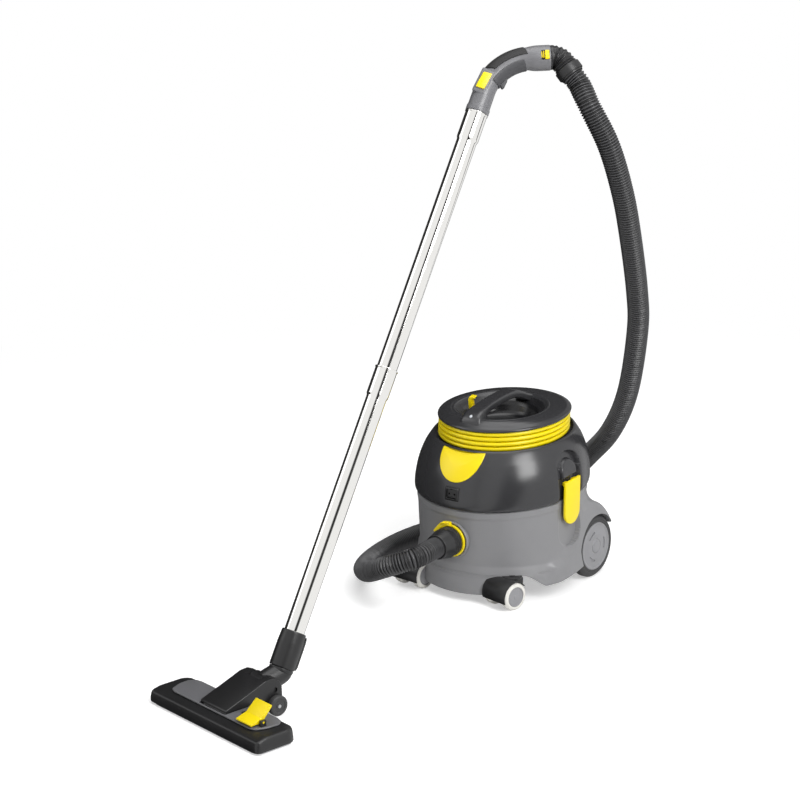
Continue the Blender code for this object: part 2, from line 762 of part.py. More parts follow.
def recess_shape(extra=0.0):
    """The arched recess over a latch: a slanting floor, cut by a rounded arch seen from the side."""
    floor = [
        (0.2, SEAM_Z - 0.01),
        (TUB_RADIUS - 0.0070 - extra, SEAM_Z - 0.01),
        (TUB_RADIUS - 0.0080 - extra, 0.2050),
        (TUB_RADIUS - 0.0125 - extra, 0.2320),
        (TUB_RADIUS - 0.0195 - extra, RECESS_TOP_Z + extra),
        (0.2, RECESS_TOP_Z + extra),
    ]
    half = RECESS_WIDTH / 2 + extra
    top = RECESS_TOP_Z + extra
    arch = [(LATCH_Y - half, SEAM_Z - 0.02)]
    arch += [(LATCH_Y + half, SEAM_Z - 0.02)]
    arch += arc((LATCH_Y + half - 0.020, top - 0.020), 0.020, 0, 90, 3)
    arch += arc((LATCH_Y - half + 0.020, top - 0.020), 0.020, 90, 180, 3)
    slab = prism(floor, LATCH_Y - half - 0.01, LATCH_Y + half + 0.01, across="Y")
    return settled(common(slab, prism(arch, 0.10, 0.21, across="X")))


def build_head_shell():
    outline = DOME_PROFILE + [
        (TUB_RADIUS - 0.0055, SEAM_Z + GAP),
        (TUB_RADIUS - 0.0055, SEAM_Z + 0.0040),
        (TUB_RADIUS, 0.1800),
        (TUB_RADIUS + 0.0014, 0.1900),
        (TUB_RADIUS - 0.0025, 0.2170),
        (TUB_RADIUS - 0.0120, 0.2440),
        (TUB_RADIUS - 0.0225, DECK_Z - DECK_THICKNESS),
        (DRUM_RADIUS - 0.0200, DECK_Z - DECK_THICKNESS),
        (DRUM_RADIUS - 0.0200, DECK_Z),
        (TUB_RADIUS - 0.0295, DECK_Z),
    ]
    body = turned(outline, TURNS_OF_SHELL, closed=True)
    within = offset_profile(DOME_PROFILE, -0.0006)[1:-1]
    within = [(0.0, 0.2590)] + within + [(TUB_RADIUS - 0.0010, SEAM_Z + 0.0015), (0.0, SEAM_Z + 0.0015)]
    solid = turned(within, TURNS_OF_SHELL)
    # Pockets behind the button and the latches keep the shell closed where they are let in.
    nest = settled(common(prism(button_outline(0.0040), -0.17, -0.05, across="Y"), dome_shell(-0.0010, -0.0130)))
    joined(body, nest)
    body = settled(body)
    for side in (1, -1):
        wall = settled(common(recess_shape(0.0035), copy_of(solid)))
        joined(body, wall if side > 0 else moved(wall, Matrix.Scale(-1, 4, (1, 0, 0))))
        body = settled(body)
    helper(solid)
    cut(body, settled(common(prism(button_outline(GAP), -0.18, -0.05, across="Y"), dome_shell(0.0060, -0.0095))))
    for side in (1, -1):
        recess = recess_shape()
        cut(body, recess if side > 0 else moved(recess, Matrix.Scale(-1, 4, (1, 0, 0))))
    body = settled(body)
    pivot = LATCH_PIVOT
    for side in (1, -1):
        knuckle = block(
            (TUB_RADIUS - 0.0100, LATCH_Y - 0.0090, pivot.z - 0.0090),
            (LATCH_BACK_X, LATCH_Y + 0.0090, pivot.z + 0.0300),
            0.0040,
            2,
        )
        joined(body, knuckle if side > 0 else moved(knuckle, Matrix.Scale(-1, 4, (1, 0, 0))))
    opening = block(
        (-SOCKET_WIDTH / 2 - GAP, -TUB_RADIUS - 0.0205, SOCKET_Z - SOCKET_HEIGHT / 2 - GAP),
        (SOCKET_WIDTH / 2 + GAP, -TUB_RADIUS + 0.0195, SOCKET_Z + SOCKET_HEIGHT / 2 + GAP),
        0.0022,
    )
    cut(body, opening)
    body = settled(body)
    for side in (1, -1):
        bore = disc(0.0022 + GAP + 0.0001, -0.02, 0.02, 12)
        moved(bore, Matrix.Translation((side * pivot.x, pivot.y, pivot.z)) @ y_turn())
        cut(body, bore)
    pitch = (GRILLE_HIGH_Z - GRILLE_LOW_Z) / GRILLE_SLOTS
    for slot in range(GRILLE_SLOTS):
        low = GRILLE_LOW_Z + slot * pitch
        slot_low, slot_high = (-GRILLE_WIDTH / 2, TUB_RADIUS - 0.0495, low), (GRILLE_WIDTH / 2, TUB_RADIUS + 0.0205, low + pitch * 0.55)
        cut(body, block(slot_low, slot_high, 0.0015, 1))
    keep(raked(settled(body)), "head_shell", HEAD_GREY, 0.30)


def build_head_inside():
    """Base plate with its seal, motor, exhaust filter, and the basket and bag that hang in the container."""
    seat = LEDGE_Z + GAP
    basket = turned(
        [
            (0.0, 0.1345),
            (CAVITY_LOW_RADIUS - 0.0170, 0.1345),
            (CAVITY_LOW_RADIUS - 0.0130, seat + 0.0025),
            (BASKET_RADIUS, seat + 0.0025),
            (BASKET_RADIUS, seat),
            (CAVITY_LOW_RADIUS - 0.0105, seat),
            (CAVITY_LOW_RADIUS - 0.0145, 0.1320),
            (0.0, 0.1320),
        ],
        32,
    )
    keep(raked(basket), "filter_basket", FELT, 0.90)

    seal = ring(BASKET_RADIUS - 0.0042, BASKET_RADIUS, seat + 0.0025 + GAP, seat + 0.0040, 32)
    keep(raked(seal), "head_seal", BLACK, 0.70)

    low = seat + 0.0040 + GAP
    base = turned(
        [
            (0.0, SEAM_Z),
            (BASKET_RADIUS, SEAM_Z),
            (BASKET_RADIUS, low),
            (0.0420, low),
            (0.0420, low - 0.0060),
            (0.0380, low - 0.0060),
            (0.0380, SEAM_Z - 0.0020),
            (0.0, SEAM_Z - 0.0020),
        ],
        32,
    )
    cut(base, block((-0.0300, -0.0160, 0.15), (0.0300, 0.0160, 0.20)))
    keep(raked(settled(base)), "head_base", BLACK, 0.50)

    bottom = SEAM_Z + GAP
    motor = turned(
        [
            (0.0, DECK_Z - DECK_THICKNESS - GAP),
            (0.0180, DECK_Z - DECK_THICKNESS - GAP),
            (0.0180, 0.2520),
            (0.0500, 0.2500),
            (0.0500, 0.2150),
            (0.0700, 0.2120),
            (0.0720, 0.2080),
            (0.0720, 0.1930),
            (0.0690, 0.1900),
            (0.0690, bottom),
            (0.0, bottom),
        ],
        20,
    )
    for step in range(4):
        vent = block((0.0440, -0.0045, 0.2200), (0.0600, 0.0045, 0.2440))
        cut(motor, moved(vent, Matrix.Rotation(step * math.pi / 2, 4, "Z")))
    keep(raked(settled(motor)), "motor_unit", STEEL, 0.50)

    inside = [(TUB_RADIUS - 0.0050, 0.2240), (TUB_RADIUS - 0.0025, 0.2170), (TUB_RADIUS + 0.0014, 0.1900)]
    inside = offset_profile(inside, -2 * GAP) + [(TUB_RADIUS - 0.0115, 0.1900), (TUB_RADIUS - 0.0150, 0.2240)]
    pad = turned(inside, TURNS_OF_SHELL, closed=True)
    common(pad, block((-0.0620, 0.05, 0.1), (0.0620, 0.2, 0.3)))
    keep(raked(settled(pad)), "exhaust_filter", FELT, 0.95)

    bag = turned(
        [
            (0.0, 0.1225),
            (CAVITY_LOW_RADIUS - 0.0465, 0.1210),
            (CAVITY_LOW_RADIUS - 0.0185, 0.1130),
            (CAVITY_LOW_RADIUS - 0.0065, 0.1000),
            (CAVITY_LOW_RADIUS - 0.0035, 0.0850),
            (CAVITY_LOW_RADIUS - 0.0065, 0.0680),
            (CAVITY_LOW_RADIUS - 0.0165, 0.0600),
            (CAVITY_LOW_RADIUS - 0.0365, FLOOR_Z + GAP),
            (0.0, FLOOR_Z + GAP),
        ],
        24,
    )
    keep(bag, "dust_bag", (0.62, 0.58, 0.50), 0.95)


def build_winding():
    """The drum on the head, the wound cable with its plug, and the cap over them."""
    drum = turned(
        [
            (DRUM_RADIUS, CAP_LOWER_Z - GAP),
            (DRUM_RADIUS, DECK_Z + GAP),
            (DRUM_RADIUS - 0.0120, DECK_Z + GAP),
            (DRUM_RADIUS - 0.0120, DECK_Z + 0.0030),
            (DRUM_RADIUS - DRUM_WALL, DECK_Z + 0.0030),
            (DRUM_RADIUS - DRUM_WALL, CAP_LOWER_Z - GAP),
        ],
        24,
        closed=True,
    )
    keep(raked(drum), "cable_drum", HEAD_GREY, 0.50)

    outer = CABLE_OUTER_PATH_RADIUS
    low, high = CABLE_FIRST_Z - CABLE_DIAMETER / 2, CAP_LOWER_Z - 2 * GAP
    core = ring(DRUM_RADIUS + GAP, outer * math.cos(math.pi / CABLE_STEPS) - CABLE_DIAMETER / 2 - 0.0004, low, high, 24)
    keep(raked(core), "cable_inner_layers", YELLOW, 0.60)

    # Each turn runs level and climbs to the next one at the back, as a wound cable does.
    steps, climb = CABLE_STEPS, 3
    points = []
    for i in range(CABLE_ROWS * steps - climb - 1):
        angle = math.pi / 2 - 2 * math.pi * (i + 2) / steps
        share = max(0.0, (i % steps - (steps - climb)) / climb)
        row = i // steps + share
        points.append(
            raked_point(
                Vector((outer * math.cos(angle), outer * math.sin(angle), CABLE_FIRST_Z + row * CABLE_PITCH))
            )
        )
    # The tail leaves the top turn at the back and ends in the plug, which lies on the head's shoulder.
    last = points[-1]
    plug_at = Vector(PLUG_AT)
    points += smooth_route(
        [
            last,
            last + Vector((0.0120, 0.0122, 0.0004)),
            last + Vector((0.0240, 0.0260, -0.0004)),
            plug_at + Vector((-0.0140, -0.0010, 0.0010)),
            plug_at + Vector((-0.0060, 0.0, 0.0)),
        ],
        0.008,
    )[1:]
    points += [plug_at + Vector((-0.0030, 0.0, 0.0)), plug_at]
    keep(tube(points, CABLE_DIAMETER / 2, resolution=1), "mains_cable", YELLOW, 0.55)
    report_gap("mains cable", points, CABLE_DIAMETER, steps // 2)

    plug = turned(
        [
            (0.0, 2 * GAP),
            (0.0052, 2 * GAP),
            (0.0062, 0.0120),
            (0.0090, 0.0160),
            (0.0150, 0.0210),
            (PLUG_RADIUS, 0.0260),
            (PLUG_RADIUS, 0.0400),
            (PLUG_RADIUS - 0.0010, 0.0410),
            (0.0, 0.0410),
        ],
        16,
    )
    for side in (-1, 1):
        joined(plug, shifted(disc(0.0023, 0.0400, 0.0590, 8), y=side * 0.0095))
    keep(moved(settled(plug), Matrix.Translation(plug_at) @ x_turn()), "mains_plug", BLACK, 0.50)


def report_gap(name, points, diameter, skip):
    """Prints the least gap between stretches of one tube that lie apart along it."""
    tree = KDTree(len(points))
    for i, point in enumerate(points):
        tree.insert(point, i)
    tree.balance()
    least = min(
        distance
        for i, point in enumerate(points)
        for _, k, distance in tree.find_range(point, 3 * diameter)
        if abs(k - i) > skip
    ) if any(
        abs(k - i) > skip for i, point in enumerate(points) for _, k, _ in tree.find_range(point, 3 * diameter)
    ) else 3 * diameter
    print(f"{name}: least gap to itself {1000 * (least - diameter):.2f} mm")


def cap_solid(extra):
    """The cap's outside with its bowl, grown by extra on every side."""
    body = turned([(0.0, CAP_TOP_Z + extra)] + offset_profile(CAP_PROFILE, extra)[1:] + [(0.0, CAP_LOWER_Z - extra)], 28)
    bowl = turned(offset_profile(BOWL_PROFILE, -extra) if extra else BOWL_PROFILE, 28)
    return body, shifted(bowl, y=BOWL_Y)


def build_cap():
    body, bowl = cap_solid(0.0)
    dish = turned(
        [
            (0.0, CAP_TOP_Z - 0.0105),
            (BOWL_RADIUS - 0.0120, CAP_TOP_Z - 0.0105),
            (BOWL_RADIUS - 0.0120, CAP_TOP_Z - 0.0245),
            (BOWL_RADIUS - 0.0160, BOWL_FLOOR_Z + 0.0040),
            (BOWL_RADIUS - 0.0240, BOWL_FLOOR_Z - 0.0035),
            (0.0, BOWL_FLOOR_Z - 0.0035),
        ],
        28,
    )
    joined(body, shifted(dish, y=BOWL_Y))
    body = settled(body)
    cut(body, bowl)
    keep(raked(settled(body)), "top_cap", HEAD_GREY, 0.30)

    # The bar grows out of the cap in front and ends on the bowl's slope at the back.
    top = HANDLE_TOP_Z
    outline = [
        (-0.1090, top - 0.0300),
        (-0.1080, top - 0.0200),
        (-0.1020, top - 0.0125),
        (-0.0900, top - 0.0070),
        (-0.0650, top - 0.0020),
        (-0.0300, top),
        (0.0000, top - 0.0002),
        (0.0200, top - 0.0035),
        (0.0400, top - 0.0115),
        (0.0560, top - 0.0205),
        (0.0680, top - 0.0255),
        (0.0740, top - 0.0290),
        (0.0620, top - 0.0340),
        (0.0540, top - 0.0295),
        (0.0420, top - 0.0235),
        (0.0200, top - 0.0172),
        (0.0000, top - 0.0145),
        (-0.0300, top - 0.0145),
        (-0.0640, top - 0.0162),
        (-0.0780, top - 0.0210),
        (-0.0840, top - 0.0300),
    ]
    outline = [(y * CAP_RADIUS / 0.1182, z) for y, z in outline]
    bar = prism(outline, -HANDLE_WIDTH / 2, HANDLE_WIDTH / 2, across="X", bevel=0.0040, segments=2)
    seat, hole = cap_solid(GAP)
    cut(seat, hole)
    cut(bar, settled(seat))
    bar = settled(bar)
    lens = disc(0.0042 + GAP, -0.0040, 0.0100, 20)
    lens_at = Matrix.Translation((0.0, -0.8799 * CAP_RADIUS, HANDLE_TOP_Z - 0.0142)) @ Matrix.Rotation(math.radians(62), 4, "X")
    cut(bar, moved(lens, lens_at))
    keep(raked(settled(bar)), "carry_handle", HEAD_GREY, 0.35)
    light = disc(0.0042, -0.0040 + GAP, 0.0022, 20, 0.0008)
    keep(raked(moved(light, lens_at)), "status_lens", (0.05, 0.10, 0.30), 0.15)

    # The hook turns on a post in the bowl. Its lever lets the cable's end or a loop of it be hung up.
    post_x, post_y = 0.0360 - BOWL_RADIUS, BOWL_Y
    post = disc(0.0062, GAP, 0.0300, 20, 0.0010)
    arm = prism([(-0.0062, 0.0240), (-0.0062, 0.0300), (0.0170, 0.0300), (0.0170, 0.0240)], -0.0055, 0.0055, "Y")
    side_view = [(0.0128, 0.0250), (0.0128, 0.0390), (0.0118, 0.0470), (0.0150, 0.0480), (0.0172, 0.0400), (0.0172, 0.0250)]
    hook = settled(joined(post, arm, prism(side_view, -0.0062, 0.0062, "Y")))
    upright = HEAD_AXIS.cross(Vector((-1.0, 0.0, 0.0)))  # square to the bowl's floor
    foot = raked_point(Vector((post_x, post_y, BOWL_FLOOR_Z)))
    stand = Matrix.Translation(foot) @ Vector((0, 0, 1)).rotation_difference(upright).to_matrix().to_4x4()
    moved(hook, stand @ Matrix.Rotation(math.radians(-165), 4, "Z"))
    placed(keep(hook, "cable_hook", YELLOW, 0.40), foot)


def build_head_controls():
    """On/off button, accessory socket and latches."""
    plate = dome_shell(BUTTON_PROUD, BUTTON_PROUD - BUTTON_THICKNESS)
    common(plate, prism(button_outline(), -0.18, -0.05, across="Y"))
    button = raked(settled(plate))
    placed(keep(button, "power_button", YELLOW, 0.35), (0.0, 0.0095 - TUB_RADIUS, 0.2450))

    width, height = SOCKET_WIDTH / 2, SOCKET_HEIGHT / 2
    face, back = -TUB_RADIUS - 0.0065, -TUB_RADIUS + 0.0035
    frame = block((-width, face, SOCKET_Z - height), (width, back + 0.0040, SOCKET_Z + height), 0.0020)
    edge = 0.003
    window = block(
        (-width + edge, face - 0.0140, SOCKET_Z - height + edge), (width - edge, back, SOCKET_Z + height - edge), 0.0020
    )
    cut(frame, window)
    keep(raked(settled(frame)), "socket_frame", BLACK, 0.40)
    edge += GAP
    insert = block(
        (-width + edge, face + 0.0015, SOCKET_Z - height + edge),
        (width - edge, back - GAP, SOCKET_Z + height - edge),
        0.0020,
    )
    for side in (-1, 1):
        pin = disc(0.0018, -0.0050, 0.02, 12)
        cut(insert, facing_front(pin, side * SOCKET_PIN_SPACING / 2 * 0.6, face + 0.0030, SOCKET_Z))
    keep(raked(settled(insert)), "socket_insert", CHARCOAL, 0.50)

    for side, name in ((1, "right"), (-1, "left")):
        latch = latch_plate()
        if side < 0:
            moved(latch, Matrix.Scale(-1, 4, (1, 0, 0)))
        pivot = raked_point(LATCH_PIVOT)
        placed(keep(raked(latch), "latch_" + name, YELLOW, 0.40), (side * pivot.x, pivot.y, pivot.z))


def latch_plate():
    """A flat tongue with a round end, two ears and the pin that it turns on."""
    half = LATCH_WIDTH / 2
    low = LATCH_BOTTOM_Z + half
    outline = [(LATCH_Y + half, LATCH_TOP_Z - 0.003), (LATCH_Y + half - 0.003, LATCH_TOP_Z)]
    outline += [(LATCH_Y + 0.0098, LATCH_TOP_Z), (LATCH_Y + 0.0098, LATCH_PIVOT.z - 0.0105)]
    outline += [(LATCH_Y - 0.0098, LATCH_PIVOT.z - 0.0105), (LATCH_Y - 0.0098, LATCH_TOP_Z)]
    outline += [(LATCH_Y - half + 0.003, LATCH_TOP_Z), (LATCH_Y - half, LATCH_TOP_Z - 0.003)]
    outline += [(y, z) for y, z in arc((LATCH_Y, low), half, 180, 360, 12)]
    plate = prism(outline, LATCH_BACK_X, LATCH_BACK_X + LATCH_THICKNESS, across="X")
    for side in (-1, 1):
        y = LATCH_Y + side * 0.0125
        ear = moved(
            disc(0.0046, -0.0022, 0.0022, 12), Matrix.Translation((LATCH_PIVOT.x, y, LATCH_PIVOT.z)) @ y_turn()
        )
        web = block((LATCH_PIVOT.x, y - 0.0022, LATCH_PIVOT.z - 0.0046), (LATCH_BACK_X + 0.001, y + 0.0022, LATCH_PIVOT.z + 0.0046))
        joined(plate, ear, web)
    pin = moved(disc(0.0022, -0.0130, 0.0130, 12), Matrix.Translation(LATCH_PIVOT) @ y_turn())
    catch = prism(
        [(LATCH_BACK_X + 0.001, 0.1440), (CHANNEL_X + GAP, 0.1465), (CHANNEL_X + GAP, 0.1495), (LATCH_BACK_X + 0.001, 0.1520)],
        LATCH_Y - 0.0150,
        LATCH_Y + 0.0150,
        across="Y",
    )
    return settled(joined(plate, pin, catch))


def build_rear_wheels():
    for side, name in ((1, "right"), (-1, "left")):
        outer = WHEEL_WIDTH
        tyre = turned(
            [
                (RIM_RADIUS + GAP, 0.0015),
                (TYRE_RADIUS - 0.0060, 0.0015),
                (TYRE_RADIUS, 0.0070),
                (TYRE_RADIUS, outer - 0.0070),
                (TYRE_RADIUS - 0.0060, outer - 0.0010),
                (RIM_RADIUS + GAP, outer - 0.0004),
            ],
            28,
            closed=True,
        )
        rim = turned(
            [
                (0.0, outer + 0.0016),
                (0.0110, outer + 0.0014),
                (0.0122, outer - 0.0004),
                (0.0140, outer + 0.0012),
                (RIM_RADIUS - 0.0018, outer),
                (RIM_RADIUS, outer - 0.0008),
                (RIM_RADIUS, 0.0018),
                (RIM_RADIUS - 0.0030, 0.0018),
                (RIM_RADIUS - 0.0060, 0.0080),
                (0.0120, 0.0060),
                (0.0120, 0.0),
                (AXLE_RADIUS + GAP, 0.0),
                (AXLE_RADIUS + GAP, outer - 0.0030),
                (0.0, outer - 0.0030),
            ],
            20,
        )
        for step in range(3):
            groove = [Vector((0.026 * math.cos(a), 0.026 * math.sin(a), 0.0)) for a in (-0.35, -0.12, 0.12, 0.35)]
            pocket = tube([point + Vector((0.004, 0, 0)) for point in groove], 0.0022, resolution=0)
            turn = Matrix.Rotation(math.radians(90 + 120 * step), 4, "Z")
            cut(rim, moved(pocket, Matrix.Translation((0, 0, outer + 0.0010)) @ turn))
        rim = settled(rim)
        to_side = Matrix.Translation((side * WHEEL_INNER_X, WHEEL_Y, WHEEL_Z)) @ x_turn(side)
        centre = (side * WHEEL_INNER_X, WHEEL_Y, WHEEL_Z)
        placed(keep(moved(tyre, to_side), "rear_tyre_" + name, CHARCOAL, 0.70), centre)
        placed(keep(moved(rim, to_side), "rear_wheel_" + name, LIGHT_GREY, 0.40), centre)
        axle = disc(AXLE_RADIUS, 0.0, WHEEL_INNER_X + outer - 0.0030 - GAP - AXLE_INNER_X - GAP, 16)
        moved(axle, Matrix.Translation((side * (AXLE_INNER_X + GAP), WHEEL_Y, WHEEL_Z)) @ x_turn(side))
        keep(axle, "axle_stub_" + name, STEEL, 0.30, 1.0)


def build_casters():
    for side, name in ((1, "right"), (-1, "left")):
        top = CASTER_ROOF_Z - 0.0008
        reach = CASTER_TRAIL
        plate = disc(0.0175, top - 0.0035, top - GAP, 16)
        stem = disc(CASTER_STEM_RADIUS, top - 0.0030, CASTER_ROOF_Z + CASTER_STEM_LENGTH - GAP, 16)
        # The hood stands between the twin wheels and arches over the axle.
        half = CASTER_TRACK / 2 - CASTER_WHEEL_WIDTH / 2 - 0.0008
        side_view = [(0.0160, top - 0.0035), (0.0120, top - 0.0180), (-reach + 0.0060, CASTER_WHEEL_RADIUS - 0.0080)]
        side_view += [(-reach - 0.0060, CASTER_WHEEL_RADIUS - 0.0070), (-reach - 0.0120, CASTER_WHEEL_RADIUS + 0.0080)]
        side_view += [(-reach - 0.0060, CASTER_WHEEL_RADIUS + 0.0190), (-0.0120, top - 0.0010)]
        hood = prism(side_view, -half, half, across="X", bevel=0.0015, segments=1)
        width = CASTER_TRACK / 2 + CASTER_WHEEL_WIDTH / 2 - 0.0030
        pin = moved(disc(CASTER_AXLE_RADIUS, -width, width, 10), Matrix.Translation((0, -reach, CASTER_WHEEL_RADIUS)) @ x_turn())
        fork = settled(joined(plate, stem, hood, pin))
        stand = Matrix.Translation((side * CASTER_X, CASTER_Y, 0)) @ Matrix.Rotation(CASTER_TURNS[name], 4, "Z")
        placed(keep(moved(fork, stand), "caster_fork_" + name, CHARCOAL, 0.50), (side * CASTER_X, CASTER_Y, top))
        for half_side, which in ((1, "outer"), (-1, "inner")):
            wheel = turned(
                [
                    (0.0, CASTER_WHEEL_WIDTH / 2 + 0.0004),
                    (CASTER_WHEEL_RADIUS * 0.72, CASTER_WHEEL_WIDTH / 2 - 0.0008),
                    (CASTER_WHEEL_RADIUS - 0.0025, CASTER_WHEEL_WIDTH / 2),
                    (CASTER_WHEEL_RADIUS, CASTER_WHEEL_WIDTH / 2 - 0.0040),
                    (CASTER_WHEEL_RADIUS, -CASTER_WHEEL_WIDTH / 2 + 0.0040),
                    (CASTER_WHEEL_RADIUS - 0.0025, -CASTER_WHEEL_WIDTH / 2),
                    (CASTER_AXLE_RADIUS + GAP, -CASTER_WHEEL_WIDTH / 2),
                    (CASTER_AXLE_RADIUS + GAP, CASTER_WHEEL_WIDTH / 2 - 0.0026),
                    (0.0, CASTER_WHEEL_WIDTH / 2 - 0.0026),
                ],
                20,
            )
            turn = stand @ Matrix.Translation((half_side * CASTER_TRACK / 2, -reach, CASTER_WHEEL_RADIUS))
            moved(wheel, turn @ x_turn(half_side))
            middle = turn @ Vector((0, 0, 0))
            label = "caster_wheel_" + name + ("_a" if half_side * side > 0 else "_b")
            placed(keep(wheel, label, WHITE, 0.50), middle)


# ---- hose ---------------------------------------------------------------------------------------
def wand_axis():
    lean = math.sin(WAND_LEAN)
    return Vector((lean * math.cos(WAND_HEADING), lean * math.sin(WAND_HEADING), math.cos(WAND_LEAN)))


def handle_frame():
    """Local frame of the bent handle: X along the wand, Y towards the bend's inside, Z away from the front."""
    along = wand_axis()
    origin = NECK_RIM + along * (2 * TUBE_EXPOSED)
    side = Vector((0.82808, 0.45731, -0.32426))
    side = (side - along * side.dot(along)).normalized()
    normal = along.cross(side)
    frame = Matrix((along, side, normal)).transposed().to_4x4()
    frame.translation = origin
    return frame


def handle_line(step, start=-0.0, run_on=0.0):
    """Points along the middle of the handle in its own frame: straight, bent, straight."""
    points = [Vector((start, 0, 0))]
    along = start
    while along + step < CONE_LENGTH:
        along += step
        points.append(Vector((along, 0, 0)))
    count = round(BEND_RADIUS * BEND_ANGLE / step)
    for i in range(count + 1):
        angle = BEND_ANGLE * i / count
        points.append(
            Vector((CONE_LENGTH + BEND_RADIUS * math.sin(angle), BEND_RADIUS * (1 - math.cos(angle)), 0))
        )
    heading = Vector((math.cos(BEND_ANGLE), math.sin(BEND_ANGLE), 0))
    if run_on:
        last = points[-1]
        count = max(1, round(run_on / step))
        points += [last + heading * (run_on * (i + 1) / count) for i in range(count)]
    return points, heading


def elbow_line(step):
    """Points along the middle of the elbow between handle and hose, in the handle's frame."""
    line, heading = handle_line(0.01, run_on=KNUCKLE_LENGTH)
    first = line[-1]
    points = [first - heading * 0.0135, first, first + heading * 0.0020]
    left = Vector((-heading.y, heading.x, 0))
    centre = points[-1] + left * ELBOW_RADIUS
    count = round(ELBOW_RADIUS * ELBOW_ANGLE / step)
    for i in range(1, count + 1):
        angle = ELBOW_ANGLE * i / count
        points.append(centre - left * ELBOW_RADIUS * math.cos(angle) + heading * ELBOW_RADIUS * math.sin(angle))
    out = heading * math.cos(ELBOW_ANGLE) + left * math.sin(ELBOW_ANGLE)
    points.append(points[-1] + out * ELBOW_SLEEVE)
    return points, out


def build_hose():
    frame = handle_frame()
    elbow, out = elbow_line(0.004)
    cuff_end = frame @ elbow[-1]
    out = (frame.to_3x3() @ out).normalized()
    start = Vector((0.0, FLANGE_FACE_Y - BAYONET_THICKNESS - 2 * GAP - COLLAR_LENGTH + 0.0160 - GAP, INLET_Z))
    route = [start, start + Vector((0, -0.030, 0)), start + Vector((0, -0.060, -0.001))]
    route += [Vector(place) for place in HOSE_ROUTE]
    route += [cuff_end + out * 0.0180, cuff_end, cuff_end - out * 0.0160]
    path = smooth_route(route, 0.010)
    length = sum((b - a).length for a, b in zip(path, path[1:]))
    ribs = resampled(path, length / (2 * HOSE_RIBS))
    factors = [1.0 if i % 2 else HOSE_ROOT_RADIUS / HOSE_RADIUS for i in range(len(ribs))]
    hose = tube(ribs, HOSE_RADIUS, factors)
    inside = resampled(path, length / 42)
    inside[0] = inside[0] + (inside[0] - inside[1]) * 0.5
    inside[-1] = inside[-1] + (inside[-1] - inside[-2]) * 0.5
    cut(hose, tube(inside, HOSE_BORE, resolution=1))
    keep(settled(hose), "hose", BLACK, 0.55)
    report_gap("hose", ribs, 2 * HOSE_RADIUS, round(2 * HOSE_RIBS * 0.2 / length))
    print(f"hose length {length:.3f} m, lowest point {1000 * (min(p.z for p in path) - HOSE_RADIUS):.1f} mm")


# ---- wand ---------------------------------------------------------------------------------------
def along_wand(at):
    """Stands a shape that lies along Z on the wand's line, at a distance from the neck's rim."""
    along = wand_axis()
    side = Vector((0, 0, 1)).cross(along).normalized()
    frame = Matrix((side, along.cross(side), along)).transposed().to_4x4()
    frame.translation = NECK_RIM + along * at
    return frame


def build_wand():
    for at, name in ((0.0, "lower"), (TUBE_EXPOSED, "upper")):
        top = TUBE_EXPOSED - GAP
        made = turned(
            [
                (TUBE_RADIUS, -TUBE_INSERT),
                (TUBE_RADIUS, top - 0.0500),
                (SOCKET_RADIUS, top - 0.0460),
                (SOCKET_RADIUS, top - 0.0030),
                (SOCKET_RADIUS + 0.0010, top - 0.0022),
                (SOCKET_RADIUS + 0.0010, top - 0.0006),
                (SOCKET_RADIUS, top),
                (SOCKET_RADIUS - TUBE_WALL, top),
                (SOCKET_RADIUS - TUBE_WALL, top - 0.0455),
                (TUBE_RADIUS - TUBE_WALL, top - 0.0495),
                (TUBE_RADIUS - TUBE_WALL, -TUBE_INSERT),
            ],
            20,
            closed=True,
        )
        keep(moved(made, along_wand(at)), "wand_tube_" + name, CHROME, 0.08, 1.0)


